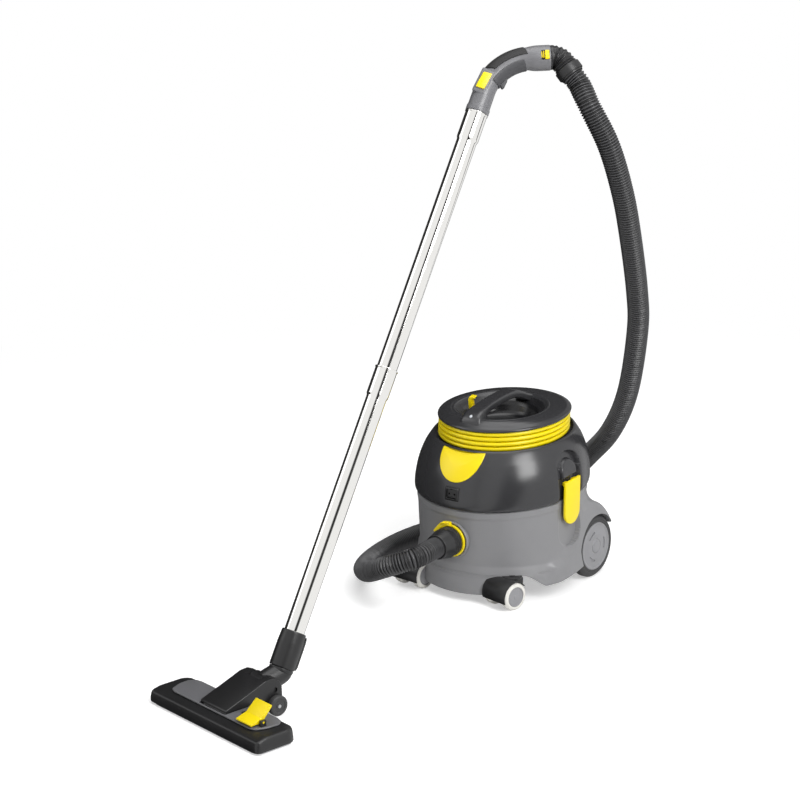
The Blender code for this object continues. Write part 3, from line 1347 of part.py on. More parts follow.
# ---- hose handle --------------------------------------------------------------------------------
def build_handle():
    frame = handle_frame()
    line, heading = handle_line(0.0150, start=0.0, run_on=KNUCKLE_LENGTH)
    radii = []
    travelled = 0.0
    for i, point in enumerate(line):
        travelled += (point - line[i - 1]).length if i else 0.0
        if travelled < CONE_LENGTH:
            radii.append(CONE_RADIUS + (GRIP_RADIUS - CONE_RADIUS) * travelled / CONE_LENGTH)
        else:
            radii.append(GRIP_RADIUS)
    shell = tube(line, GRIP_RADIUS, [radius / GRIP_RADIUS for radius in radii], resolution=3)
    lay = Matrix.Rotation(math.pi / 2, 4, "Y")
    step = disc(CONE_RADIUS + 0.0012, GAP, 0.0090, 20, 0.0008)
    nose = disc(SOCKET_RADIUS - TUBE_WALL - 0.0005, -TUBE_INSERT, 0.0010, 20)
    joined(shell, moved(step, lay), moved(nose, lay))
    end = line[-1]
    to_end = Matrix.Translation(end) @ Matrix.Rotation(BEND_ANGLE, 4, "Z") @ lay
    knuckle = turned(
        [
            (0.0, 0.0),
            (KNUCKLE_RADIUS - 0.0010, 0.0),
            (KNUCKLE_RADIUS, -0.0010),
            (KNUCKLE_RADIUS, -KNUCKLE_LENGTH + 0.0060),
            (KNUCKLE_RADIUS - 0.0030, -KNUCKLE_LENGTH),
            (0.0, -KNUCKLE_LENGTH),
        ],
        20,
    )
    joined(shell, moved(knuckle, to_end))
    tilt = Matrix.Translation((0.0490, -0.0055, 0.0)) @ Matrix.Rotation(math.radians(7), 4, "Z")
    pad = block((-0.0200, -0.0105, -0.0188), (0.0210, 0.0105, -0.0080), 0.0030, 1)
    joined(shell, moved(pad, tilt))
    shell = settled(shell)
    bore_line = [Vector((-0.0600, 0, 0))] + line + [line[-1] + heading * 0.02]
    cut(shell, tube(bore_line, HANDLE_BORE, resolution=1))
    slot = block((-0.0060, 0.0030, -0.03), (0.0150, 0.0080, -0.0160), 0.0010, 1)
    cut(shell, moved(slot, tilt))
    rest = disc(HOSE_CUFF_NECK + GAP, -0.0140, 0.01, 20)
    cut(shell, moved(rest, to_end))
    side = Matrix.Translation(end - heading * 0.0140) @ Matrix.Rotation(BEND_ANGLE, 4, "Z")
    nest = block((-0.0090 - GAP, -0.0050 - GAP, -0.0300), (0.0090 + GAP, 0.0050 + GAP, -0.0172), 0.0010)
    cut(shell, moved(nest, side))
    shell = settled(shell)
    keep(moved(shell, frame), "handle_shell", LIGHT_GREY, 0.40)

    slider = prism([(-0.0145, -0.0075), (0.0125, -0.0060), (0.0150, 0.0075), (-0.0125, 0.0060)], -0.0225, -0.0188 - GAP, "Z", 0.0010)
    slider = moved(slider, frame @ tilt)
    placed(keep(slider, "regulator_slide", YELLOW, 0.40), (frame @ tilt) @ Vector((0, 0, -0.0190)))

    press = block((-0.0090, -0.0050, -0.0228), (0.0090, 0.0050, -0.0200), 0.0018)
    placed(keep(moved(press, frame @ side), "lock_button", YELLOW, 0.40), (frame @ side) @ Vector((0, 0, -0.0205)))

    centre = Vector((CONE_LENGTH, BEND_RADIUS, 0))
    for name, low, high, outside in (("grip_top", 22, 60, True), ("grip_lower", 12, 64, False)):
        points = [
            centre + Vector((math.sin(math.radians(a)), -math.cos(math.radians(a)), 0)) * BEND_RADIUS
            for a in [low + (high - low) * i / 6 for i in range(7)]
        ]
        grip = tube(points, GRIP_RADIUS + 0.0022, resolution=3)
        line_in, _ = handle_line(0.0150, start=0.0, run_on=KNUCKLE_LENGTH)
        cut(grip, tube(line_in, GRIP_RADIUS + GAP + 0.0001, resolution=3))
        grip = settled(grip)
        if outside:
            cut(grip, shifted(disc(BEND_RADIUS + 0.0040, -0.05, 0.05, 64), x=centre.x, y=centre.y))
        else:
            common(grip, shifted(disc(BEND_RADIUS - 0.0050, -0.05, 0.05, 64), x=centre.x, y=centre.y))
            grip = settled(grip)
            spur = prism(
                [(0.0640, 0.0200), (0.0560, 0.0215), (0.0500, 0.0265), (0.0560, 0.0275), (0.0620, 0.0290), (0.0700, 0.0330), (0.0720, 0.0260)],
                -0.0050,
                0.0050,
                "Z",
                0.0010,
            )
            joined(grip, spur)
            grip = settled(grip)
            cut(grip, tube(line_in, GRIP_RADIUS + GAP + 0.0001, resolution=3))
        keep(moved(settled(grip), frame), name, CHARCOAL, 0.60)

    points, out = elbow_line(0.006)
    elbow = tube(points[1:], KNUCKLE_RADIUS - 0.0008, resolution=3)
    shifted(elbow, x=heading.x * GAP, y=heading.y * GAP)
    neck = disc(HOSE_CUFF_NECK, -0.0135, 0.0040, 20)
    joined(elbow, moved(neck, to_end))
    elbow = settled(elbow)
    bore = [points[0] - heading * 0.02] + points[1:]
    cut(elbow, tube(bore, HANDLE_BORE, resolution=1))
    turn = Matrix.Rotation(BEND_ANGLE + ELBOW_ANGLE, 4, "Z") @ lay
    to_hose = Matrix.Translation(points[-1]) @ turn
    cut(elbow, moved(disc(HOSE_RADIUS + 0.0005, -0.0160 - GAP, 0.02, 20), to_hose))
    keep(moved(settled(elbow), frame), "handle_elbow", BLACK, 0.50)
    collar = ring(KNUCKLE_RADIUS - 0.0008 + GAP + 0.0006, KNUCKLE_RADIUS + 0.0020, -0.0170, -0.0030, 20)
    placed(keep(moved(collar, frame @ to_hose), "swivel_ring", CHARCOAL, 0.50), (frame @ to_hose).translation)


# ---- floor tool ---------------------------------------------------------------------------------
def tool_frame():
    """Local frame of the floor tool: X along its width, Y to its back, Z up."""
    return Matrix.Translation(TOOL_CENTRE) @ Matrix.Rotation(TOOL_HEADING, 4, "Z")


def rounded_rectangle(half_width, half_depth, radius, steps=4):
    x, y = half_width - radius, half_depth - radius
    corners = ((x, y, 0), (-x, y, 90), (-x, -y, 180), (x, -y, 270))
    return [point for cx, cy, start in corners for point in arc((cx, cy), radius, start, start + 90, steps)]


def across_tool(radius, half_length, pivot, steps=24, chamfer=0.0):
    """A round bar along the tool's width."""
    return moved(disc(radius, -half_length, half_length, steps, chamfer), Matrix.Translation(pivot) @ x_turn())


def tufts(half_width, n, low, high):
    """A row of bristle tufts standing in a backing strip, as one body."""
    strip = block((-half_width, n - 0.0024, high - 0.0040), (half_width, n + 0.0024, high))
    pitch = 2 * (half_width - 0.0030) / BRUSH_TUFTS
    for i in range(BRUSH_TUFTS):
        x = (i + 0.5 - BRUSH_TUFTS / 2) * pitch
        tuft = block((x - pitch * 0.40, n - 0.0018, low), (x + pitch * 0.40, n + 0.0018, high - 0.0030))
        joined(strip, tuft)
    return settled(strip)


def build_tool_base(frame):
    half_width, half_depth = TOOL_WIDTH / 2, TOOL_DEPTH / 2
    body = prism(rounded_rectangle(half_width, half_depth, 0.0180), TOOL_SOLE_Z, TOOL_HEIGHT, "Z", 0.0035, 1)
    hollow = prism(rounded_rectangle(half_width - 0.0030, half_depth - 0.0030, 0.0150), 0.0, TOOL_SOLE_Z + 0.0012, "Z")
    cut(body, hollow)
    # The mouth runs the tool's whole width and rises to the hood's barrel in the middle.
    cut(body, block((-half_width + 0.0200, -0.0190, -0.01), (half_width - 0.0200, 0.0110, 0.0120), 0.0030))
    for n in (-0.0300, 0.0300):
        cut(body, block((-half_width + 0.0170, n - 0.0030, -0.01), (half_width - 0.0170, n + 0.0030, TOOL_HEIGHT - 0.0040)))
    body = settled(body)
    trough = across_tool(0.0112, HOOD_HALF + GAP, HOOD_PIVOT, 24)
    opening = block((-HOOD_HALF - GAP, HOOD_PIVOT.y - 0.0112, HOOD_PIVOT.z), (HOOD_HALF + GAP, HOOD_PIVOT.y + 0.0112, 0.04))
    cut(body, trough)
    cut(body, opening)
    body = settled(body)
    cut(body, block((-0.0220, -0.0120, 0.0), (0.0220, 0.0040, 0.0160)))
    for side in (-1, 1):
        post = block(
            (PEDAL_U - 0.0030 + side * PEDAL_POST, PEDAL_N - 0.0050, TOOL_HEIGHT - 0.001),
            (PEDAL_U + 0.0030 + side * PEDAL_POST, PEDAL_N + 0.0050, PEDAL_Z + 0.0032),
            0.0010,
            1,
        )
        joined(body, post)
    body = settled(body)
    cut(body, across_tool(0.0018 + GAP, 0.0450, Vector((PEDAL_U, PEDAL_N, PEDAL_Z)), 12))
    placed(keep(moved(settled(body), frame), "tool_base", CHARCOAL, 0.45), frame @ HOOD_PIVOT)

    sole = prism(rounded_rectangle(half_width - 0.0034, half_depth - 0.0034, 0.0146), 0.0004, TOOL_SOLE_Z + 0.0009, "Z")
    cut(sole, block((-half_width + 0.0220, -0.0160, -0.01), (half_width - 0.0220, -0.0040, 0.02), 0.0020))
    for n in (-0.0300, 0.0300):
        cut(sole, block((-half_width + 0.0175, n - 0.0032, -0.01), (half_width - 0.0175, n + 0.0032, 0.02)))
    placed(keep(moved(settled(sole), frame), "tool_sole", STEEL, 0.35, 1.0), frame @ HOOD_PIVOT)

    top = TOOL_HEIGHT + GAP
    outline = [(-0.0970, -0.0190), (0.0970, -0.0190), (0.1080, -0.0160), (0.1150, 0.0020), (0.1165, 0.0220)]
    outline += [(0.1100, 0.0310), (0.0980, 0.0330), (-0.0980, 0.0330), (-0.1100, 0.0310), (-0.1165, 0.0220)]
    outline += [(-0.1150, 0.0020), (-0.1080, -0.0160)]
    plate = prism(outline, top, top + PLATE_THICKNESS, "Z", 0.0010, 1)
    cut(plate, block((-HOOD_HALF - 0.0012, -0.0180, 0.0), (HOOD_HALF + 0.0012, 0.0500, 0.05)))
    for side in (-1, 1):
        at = PEDAL_U + side * PEDAL_POST
        cut(plate, block((at - 0.0033, PEDAL_N - 0.0053, 0.0), (at + 0.0033, PEDAL_N + 0.0053, 0.05)))
    placed(keep(moved(settled(plate), frame), "tool_plate", LIGHT_GREY, 0.35), frame @ HOOD_PIVOT)


def build_pedal(frame):
    """A rocker folded to a V: pressing its rear leaf lowers the brushes, and its front leaf lifts them."""
    view = [(-0.0212, 0.0322), (-0.0206, 0.0340), (-0.0010, 0.0396), (0.0182, 0.0560), (0.0196, 0.0554)]
    view += [(0.0206, 0.0534), (0.0040, 0.0354), (-0.0010, 0.0322), (-0.0192, 0.0314)]
    pedal = settled(prism(view, PEDAL_U - PEDAL_HALF, PEDAL_U + PEDAL_HALF, across="X"))
    pivot = Vector((PEDAL_U, PEDAL_N, PEDAL_Z))
    pedal = settled(joined(pedal, across_tool(0.0018, PEDAL_HALF + 0.0058, pivot, 12)))
    placed(keep(moved(pedal, frame), "tool_pedal", YELLOW, 0.40), frame @ Vector((PEDAL_U, PEDAL_N, PEDAL_Z)))


def build_hood(frame):
    """The wedge between base and neck: a barrel in the base in front, a fork for the neck at the back."""
    view = [
        (-0.0108, 0.0262),
        (-0.0130, 0.0282),
        (-0.0154, 0.0305),
        (-0.0132, 0.0328),
        (0.0300, 0.0475),
        (0.0620, 0.0590),
        (0.0760, 0.0600),
        (0.0880, 0.0540),
        (0.0930, 0.0430),
        (0.0930, 0.0250),
        (0.0880, 0.0090),
        (0.0700, 0.0060),
        (0.0480, 0.0100),
        (0.0410, 0.0180),
        (0.0405, 0.0262),
    ]
    hood = prism(view, -HOOD_HALF, HOOD_HALF, across="X", bevel=0.0025, segments=1)
    joined(hood, across_tool(0.0105, HOOD_HALF - 0.0030, HOOD_PIVOT, 24))
    hood = settled(hood)
    cut(hood, block((-0.0192, 0.0612, -0.01), (0.0192, 0.12, 0.10)))
    cut(hood, across_tool(0.0040 + GAP, HOOD_HALF + 0.01, ELBOW_PIVOT, 12))
    cut(hood, across_tool(0.0030 + GAP, HOOD_HALF + 0.01, Vector((0, ROLLER_N, ROLLER_RADIUS)), 12))
    placed(keep(moved(settled(hood), frame), "tool_hood", CHARCOAL, 0.40), frame @ ELBOW_PIVOT)

    pivot = Vector((0, ROLLER_N, ROLLER_RADIUS))
    axle = across_tool(0.0030, HOOD_HALF + ROLLER_WIDTH + 0.0006, pivot, 12)
    placed(keep(moved(axle, frame), "tool_roller_axle", STEEL, 0.30, 1.0), frame @ pivot)
    for side, name in ((1, "right"), (-1, "left")):
        roller = turned(
            [
                (0.0030 + GAP + 0.0002, 0.0),
                (ROLLER_RADIUS - 0.0012, 0.0),
                (ROLLER_RADIUS, 0.0018),
                (ROLLER_RADIUS, ROLLER_WIDTH - 0.0018),
                (ROLLER_RADIUS - 0.0012, ROLLER_WIDTH),
                (0.0030 + GAP + 0.0002, ROLLER_WIDTH),
            ],
            20,
            closed=True,
        )
        moved(roller, frame @ Matrix.Translation((side * (HOOD_HALF + GAP), ROLLER_N, ROLLER_RADIUS)) @ x_turn(side))
        centre = frame @ Vector((side * HOOD_HALF, ROLLER_N, ROLLER_RADIUS))
        placed(keep(roller, "tool_roller_" + name, BLACK, 0.70), centre)


def build_neck(frame):
    """The bent neck that swings in the hood's fork, the sleeve that swivels on it, and the sleeve's clip."""
    inverse = frame.inverted()
    axis = (inverse.to_3x3() @ wand_axis()).normalized()
    rim = inverse @ NECK_RIM
    foot = rim - axis * SLEEVE_LENGTH
    lower = foot - axis * 0.0020
    route = [ELBOW_PIVOT + Vector((0, 0.0020, 0.0008)), ELBOW_PIVOT + Vector((0, 0.0150, 0.0045))]
    route += [lower - axis * 0.0060, lower]
    path = smooth_route(route, 0.0065)
    neck = tube(path, NECK_RADIUS, resolution=2)
    barrel = across_tool(0.0172, 0.0188, ELBOW_PIVOT, 20)
    pins = across_tool(0.0040, 0.0300, ELBOW_PIVOT, 12)
    stand = Vector((0, 0, 1)).rotation_difference(axis).to_matrix().to_4x4()
    collar = moved(disc(NECK_RADIUS + 0.0012, -0.0060, -GAP, 20), Matrix.Translation(foot) @ stand)
    spigot = moved(disc(TUBE_RADIUS, -0.0040, 0.0140, 20), Matrix.Translation(foot) @ stand)
    neck = settled(joined(neck, barrel, pins, collar, spigot))
    cut(neck, moved(disc(0.0115, -0.0100, 0.0300, 12), Matrix.Translation(foot) @ stand))
    placed(keep(moved(settled(neck), frame), "tool_neck", CHARCOAL, 0.45), frame @ foot)

    inner = TUBE_RADIUS + GAP + 0.0002
    sleeve = turned(
        [
            (inner, 0.0),
            (SLEEVE_RADIUS - 0.0010, 0.0),
            (SLEEVE_RADIUS, 0.0010),
            (SLEEVE_RADIUS, 0.0400),
            (SLEEVE_RADIUS - 0.0012, SLEEVE_LENGTH - 0.0020),
            (SLEEVE_RADIUS - 0.0022, SLEEVE_LENGTH - GAP),
            (inner, SLEEVE_LENGTH - GAP),
        ],
        20,
        closed=True,
    )
    keep(moved(sleeve, along_wand(-SLEEVE_LENGTH)), "tool_sleeve", CHARCOAL, 0.45)

    # The clip lies along the sleeve's back and rocks on a pin through its middle.
    view = [(0.0, 0.0), (0.0040, 0.0), (0.0055, 0.0060), (0.0052, 0.0460), (0.0040, 0.0540), (0.0024, 0.0540)]
    view += [(0.0, 0.0380)]
    clip = prism(view, -0.0080, 0.0080, across="X", bevel=0.0010, segments=1)
    shifted(clip, y=SLEEVE_RADIUS + GAP, z=-0.0580)
    at = along_wand(0.0) @ Matrix.Rotation(math.pi, 4, "Z")  # on the side away from the front
    placed(keep(moved(clip, at), "neck_clip", CHARCOAL, 0.45), at @ Vector((0, SLEEVE_RADIUS + 0.0020, -0.0200)))


def build_tool():
    """The floor tool, from its sole up to the neck that takes the wand."""
    frame = tool_frame()
    build_tool_base(frame)
    build_pedal(frame)
    for n, name in ((-0.0300, "front"), (0.0300, "rear")):
        brush = tufts(TOOL_WIDTH / 2 - 0.0176, n, 0.0016, 0.0130)
        placed(keep(moved(brush, frame), "tool_brush_" + name, BLACK, 0.80), frame @ Vector((0, n, 0.0100)))
    build_hood(frame)
    build_neck(frame)


def centre_on_footprint():
    """Moves the whole so that the origin lies under the middle of everything but the hose and the cable."""
    lows, highs = [], []
    for obj in bpy.data.collections["tub_vacuum_cleaner"].objects:
        if obj.name in ("hose", "mains_cable", "mains_plug"):
            continue
        corners = [obj.matrix_world @ vertex.co for vertex in obj.data.vertices]
        lows.append([min(corner[axis] for corner in corners) for axis in range(3)])
        highs.append([max(corner[axis] for corner in corners) for axis in range(3)])
    low = [min(values) for values in zip(*lows)]
    high = [max(values) for values in zip(*highs)]
    shift = Vector((-(low[0] + high[0]) / 2, -(low[1] + high[1]) / 2, -low[2]))
    for obj in bpy.data.objects:  # the cutters too
        obj.location += shift
    print("shift to the footprint's middle", [round(value, 6) for value in shift])


def main():
    clear_scene()
    build_container()
    build_inlet()
    build_head_shell()
    build_head_inside()
    build_winding()
    build_cap()
    build_head_controls()
    build_rear_wheels()
    build_casters()
    build_hose()
    build_wand()
    build_handle()
    build_tool()
    bpy.context.view_layer.update()
    centre_on_footprint()


main()
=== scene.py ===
"""A round tub vacuum cleaner with its hose, wand and floor tool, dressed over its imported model."""

import json
import math

import bmesh
import bpy
import numpy as np
from mathutils import Matrix, Vector

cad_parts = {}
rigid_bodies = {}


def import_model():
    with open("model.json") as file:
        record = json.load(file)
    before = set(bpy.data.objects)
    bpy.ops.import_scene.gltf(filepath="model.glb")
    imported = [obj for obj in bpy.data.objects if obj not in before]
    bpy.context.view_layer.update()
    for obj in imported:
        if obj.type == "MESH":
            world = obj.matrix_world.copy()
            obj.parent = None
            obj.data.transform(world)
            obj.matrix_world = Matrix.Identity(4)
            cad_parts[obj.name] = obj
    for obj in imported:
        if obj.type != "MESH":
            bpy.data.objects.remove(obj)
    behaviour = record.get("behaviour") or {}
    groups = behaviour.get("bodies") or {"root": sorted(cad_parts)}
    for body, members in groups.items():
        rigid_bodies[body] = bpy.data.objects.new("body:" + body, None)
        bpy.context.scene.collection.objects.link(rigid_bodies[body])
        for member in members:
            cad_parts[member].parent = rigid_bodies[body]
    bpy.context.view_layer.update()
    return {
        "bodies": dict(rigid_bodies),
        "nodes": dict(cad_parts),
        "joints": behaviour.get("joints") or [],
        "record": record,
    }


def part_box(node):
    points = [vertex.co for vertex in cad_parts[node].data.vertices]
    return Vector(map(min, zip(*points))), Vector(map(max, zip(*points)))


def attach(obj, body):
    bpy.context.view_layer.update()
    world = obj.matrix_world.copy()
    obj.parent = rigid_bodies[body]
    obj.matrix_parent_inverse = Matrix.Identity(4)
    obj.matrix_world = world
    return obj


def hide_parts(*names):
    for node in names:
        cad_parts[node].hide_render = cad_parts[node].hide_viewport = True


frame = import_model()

# ---- where the machine stands -------------------------------------------------------------------
# The tub's axis is the zero point that every shape below is drawn from, with its front towards -Y.
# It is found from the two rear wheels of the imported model.
WHEEL_Y = 0.079
wheel_low, wheel_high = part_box("rear_tyre_right")
other_low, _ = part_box("rear_tyre_left")
TUB = Vector(((wheel_high.x + other_low.x) / 2, (wheel_low.y + wheel_high.y) / 2 - WHEEL_Y, 0.0))

# ---- room, lamps and camera ---------------------------------------------------------------------
# A pale floor under broad soft lamps, as in a product studio. The camera stands to the right of the
# front, a little above the tub, with a long lens.
scene = bpy.context.scene
scene.view_settings.view_transform = "Standard"


def node(tree, kind, inputs=None, **settings):
    """Adds a node with its settings. An input is a value, or a socket of another node to link."""
    made = tree.nodes.new(kind)
    for key, value in settings.items():
        setattr(made, key, value)
    for key, value in (inputs or {}).items():
        if isinstance(value, bpy.types.NodeSocket):
            tree.links.new(value, made.inputs[key])
        else:
            made.inputs[key].default_value = value
    return made


def linear(code):
    """An sRGB hex colour as the linear colour that shaders take."""
    parts = [int(code[i : i + 2], 16) / 255 for i in (1, 3, 5)]
    return tuple(p / 12.92 if p <= 0.04045 else ((p + 0.055) / 1.055) ** 2.4 for p in parts) + (1.0,)


AZIMUTH, ELEVATION, ROLL = (math.radians(a) for a in (37.3281, 16.151, -1.5))
towards = Vector(
    (math.sin(AZIMUTH) * math.cos(ELEVATION), -math.cos(AZIMUTH) * math.cos(ELEVATION), math.sin(ELEVATION))
)
right = Vector((math.cos(AZIMUTH), math.sin(AZIMUTH), 0.0))
up = towards.cross(right)
level = (math.cos(ROLL) * right + math.sin(ROLL) * up, -math.sin(ROLL) * right + math.cos(ROLL) * up, towards)
# Shiny pieces mirror white panels with dark gaps between them, which stand round the set and lean as the
# wand does.
WAND = Vector((0.0521, 0.5131, 0.8567)).normalized()
world = bpy.data.worlds.new("studio")
scene.world = world
world.use_nodes = True
tree = world.node_tree
tree.nodes.clear()
rays = node(tree, "ShaderNodeLightPath")
seen = {0: rays.outputs["Is Camera Ray"], 1: rays.outputs["Is Transmission Ray"]}
seen = node(tree, "ShaderNodeMath", seen, operation="MAXIMUM")
dome = node(tree, "ShaderNodeBackground", {"Color": (1, 1, 1, 1), "Strength": 0.31})
paper = node(tree, "ShaderNodeBackground", {"Color": (1, 1, 1, 1), "Strength": 1.0})
aim = node(tree, "ShaderNodeTexCoord").outputs["Generated"]
facing = (towards - WAND * towards.dot(WAND)).normalized()
aside = node(tree, "ShaderNodeVectorMath", {0: aim, 1: WAND.cross(facing)}, operation="DOT_PRODUCT")
ahead = node(tree, "ShaderNodeVectorMath", {0: aim, 1: facing}, operation="DOT_PRODUCT")
swing = node(
    tree, "ShaderNodeMath", {0: aside.outputs["Value"], 1: ahead.outputs["Value"]}, operation="ARCTAN2"
)
share = node(tree, "ShaderNodeMapRange", {0: swing.outputs[0], 1: -math.pi, 2: math.pi})
panels = node(tree, "ShaderNodeValToRGB", {0: share.outputs[0]})
PANELS = [
    (-180, 0.03), (-92, 0.03), (-80, 1.0), (-8, 1.0), (-1, 0.04), (20, 0.04), (27, 1.0), (138, 1.0),
    (152, 0.30),
]
stops = panels.color_ramp.elements
for angle, shade in PANELS[1:]:
    stops.new(0.5 + angle / 360).color = (shade, shade, shade, 1)
stops[0].color = (PANELS[0][1],) * 3 + (1,)
stops[-1].color = (PANELS[-1][1],) * 3 + (1,)
mirrored = node(tree, "ShaderNodeBackground", {"Color": panels.outputs[0], "Strength": 0.95})
lit = node(
    tree, "ShaderNodeMixShader",
    {0: rays.outputs["Is Glossy Ray"], 1: dome.outputs[0], 2: mirrored.outputs[0]}
)
whole = node(tree, "ShaderNodeMixShader", {0: seen.outputs[0], 1: lit.outputs[0], 2: paper.outputs[0]})
node(tree, "ShaderNodeOutputWorld", {"Surface": whole.outputs[0]})


def softbox(name, place, target, width, height, power):
    """A large soft lamp aimed at a point."""
    lamp = bpy.data.lights.new(name, "AREA")
    lamp.shape = "RECTANGLE"
    lamp.size = width
    lamp.size_y = height
    lamp.energy = power
    stand = bpy.data.objects.new(name, lamp)
    scene.collection.objects.link(stand)
    stand.location = place
    stand.rotation_euler = (Vector(target) - Vector(place)).to_track_quat("-Z", "Y").to_euler()


softbox("key_lamp", (2.6, -0.8, 2.4), (0.0, 0.2, 0.3), 1.4, 2.2, 98)
softbox("left_lamp", (-2.8, -1.8, 2.0), (0.0, 0.1, 0.3), 1.6, 2.2, 17)
softbox("top_lamp", (0.0, 0.4, 3.4), (0.0, 0.2, 0.0), 2.6, 2.6, 42)

bpy.ops.mesh.primitive_plane_add(size=40)
floor = bpy.context.object
floor.name = "floor"
paint = bpy.data.materials.new("white_floor")
paint.use_nodes = True
tree = paint.node_tree
tree.nodes.clear()
rays = node(tree, "ShaderNodeLightPath")
matt = node(tree, "ShaderNodeBsdfDiffuse", {"Color": (0.82, 0.82, 0.82, 1)})
lift = node(tree, "ShaderNodeMath", {0: rays.outputs["Is Camera Ray"], 1: 0.44}, operation="MULTIPLY")
glow = node(tree, "ShaderNodeEmission", {"Color": (1, 1, 1, 1), "Strength": lift.outputs[0]})
near = node(tree, "ShaderNodeAddShader", {0: matt.outputs[0], 1: glow.outputs[0]})
spot = node(tree, "ShaderNodeNewGeometry").outputs["Position"]
reach = node(tree, "ShaderNodeVectorMath", {0: spot}, operation="LENGTH")
far = node(
    tree, "ShaderNodeMapRange", {0: reach.outputs["Value"], 1: 1.1, 2: 2.2}, interpolation_type="SMOOTHSTEP"
)
sheet = node(
    tree, "ShaderNodeMath", {0: far.outputs[0], 1: rays.outputs["Is Camera Ray"]}, operation="MULTIPLY"
)
white = node(tree, "ShaderNodeEmission", {"Color": (1, 1, 1, 1), "Strength": 1.0})
whole = node(tree, "ShaderNodeMixShader", {0: sheet.outputs[0], 1: near.outputs[0], 2: white.outputs[0]})
node(tree, "ShaderNodeOutputMaterial", {"Surface": whole.outputs[0]})
floor.data.materials.append(paint)
floor.visible_glossy = False

lens = bpy.data.cameras.new("camera")
lens.lens = 108
lens.sensor_width = 36
camera = bpy.data.objects.new("camera", lens)
scene.collection.objects.link(camera)
camera.matrix_world = Matrix.Translation(
    TUB + Vector((2.31492, -3.32775, 1.50209))
) @ Matrix(level).transposed().to_4x4()
scene.camera = camera


# ---- tub ----------------------------------------------------------------------------------------
# The tub is one grey ABS moulding: a drafted wall, a flared skirt with an arch over each caster,
# fenders over the rear wheels and a channel for each latch. Its rim rises towards the back.
RAKE, LEAN, SEAM_Z = 0.061, 0.085, 0.174
WHEEL_Z, TYRE_RADIUS, WHEEL_INNER_X = 0.057, 0.057, 0.1228
FENDER_X = 0.1495
LATCH_Y = -0.010
CAVITY_STEPS = [
    (0.0, 0.056), (0.1165, 0.056), (0.1165, 0.116), (0.1205, 0.120), (0.1412, 0.120), (0.1412, 0.1665),
    (0.1446, 0.1665), (0.1446, SEAM_Z), (0.1482, SEAM_Z),
]
TUB_WALL = [
    (0.1485, 0.1740), (0.1508, 0.1722), (0.1508, 0.1615), (0.1495, 0.1595), (0.1480, 0.0900),
    (0.1480, 0.0660), (0.1502, 0.0600), (0.1540, 0.0480), (0.1563, 0.0340), (0.1575, 0.0140),
    (0.1578, 0.0000),
]


def moulded(name, colour, roughness, grain_mm, depth, mottle=0.05, coat=0.0, scuff="#b0b0b0"):
    """A spark-eroded plastic moulding: an even fine grain, faint flow marks and light rubs on high spots."""
    made = bpy.data.materials.new(name)
    made.use_nodes = True
    tree = made.node_tree
    shader = tree.nodes["Principled BSDF"]
    place = node(tree, "ShaderNodeTexCoord").outputs["Object"]
    flow = node(tree, "ShaderNodeTexNoise", {"Vector": place, "Scale": 14.0, "Detail": 4.0, "Roughness": 0.6})
    fine = node(tree, "ShaderNodeTexNoise", {"Vector": place, "Scale": 1000 / grain_mm, "Detail": 2.0})
    rubs = node(
        tree, "ShaderNodeTexNoise", {"Vector": place, "Scale": 90.0, "Detail": 8.0, "Roughness": 0.75}
    )
    dark = tuple(c * (1 - 2 * mottle) for c in linear(colour)[:3]) + (1.0,)
    pale = tuple(min(1.0, c * (1 + mottle)) for c in linear(colour)[:3]) + (1.0,)
    tone = node(tree, "ShaderNodeMix", {0: flow.outputs["Fac"], 6: dark, 7: pale}, data_type="RGBA")
    worn = node(tree, "ShaderNodeMapRange", {0: rubs.outputs["Fac"], 1: 0.66, 2: 0.80, 3: 0.0, 4: 0.10})
    paint = node(
        tree, "ShaderNodeMix", {0: worn.outputs[0], 6: tone.outputs[2], 7: linear(scuff)}, data_type="RGBA"
    )
    gloss = node(
        tree, "ShaderNodeMapRange", {0: flow.outputs["Fac"], 3: roughness - 0.05, 4: roughness + 0.07}
    )
    bump = node(
        tree, "ShaderNodeBump", {"Height": fine.outputs["Fac"], "Strength": depth, "Distance": 0.0003}
    )
    tree.links.new(paint.outputs[2], shader.inputs["Base Color"])
    tree.links.new(gloss.outputs[0], shader.inputs["Roughness"])
    tree.links.new(bump.outputs[0], shader.inputs["Normal"])
    shader.inputs["IOR"].default_value = 1.5
    shader.inputs["Coat Weight"].default_value = coat
    shader.inputs["Coat Roughness"].default_value = 0.12
    return made


# Mid grey ABS from an etched mould: satin, with an even grain that breaks reflections up softly.
abs_grey = moulded("satin_abs_mid_grey", "#868688", 0.36, 1.6, 0.20)


def rake(points):
    """Gives an array of points the head's slope and lean, which the tub's wall takes up in its last third."""
    points = np.array(points, float)
    share = np.clip((points[..., 2] - 0.100) / 0.055, 0, 1)
    rise = RAKE * points[..., 1] * share * share * (3 - 2 * share)
    points[..., 1] += LEAN * np.maximum(0.0, points[..., 2] - SEAM_Z)
    points[..., 2] += rise
    return points


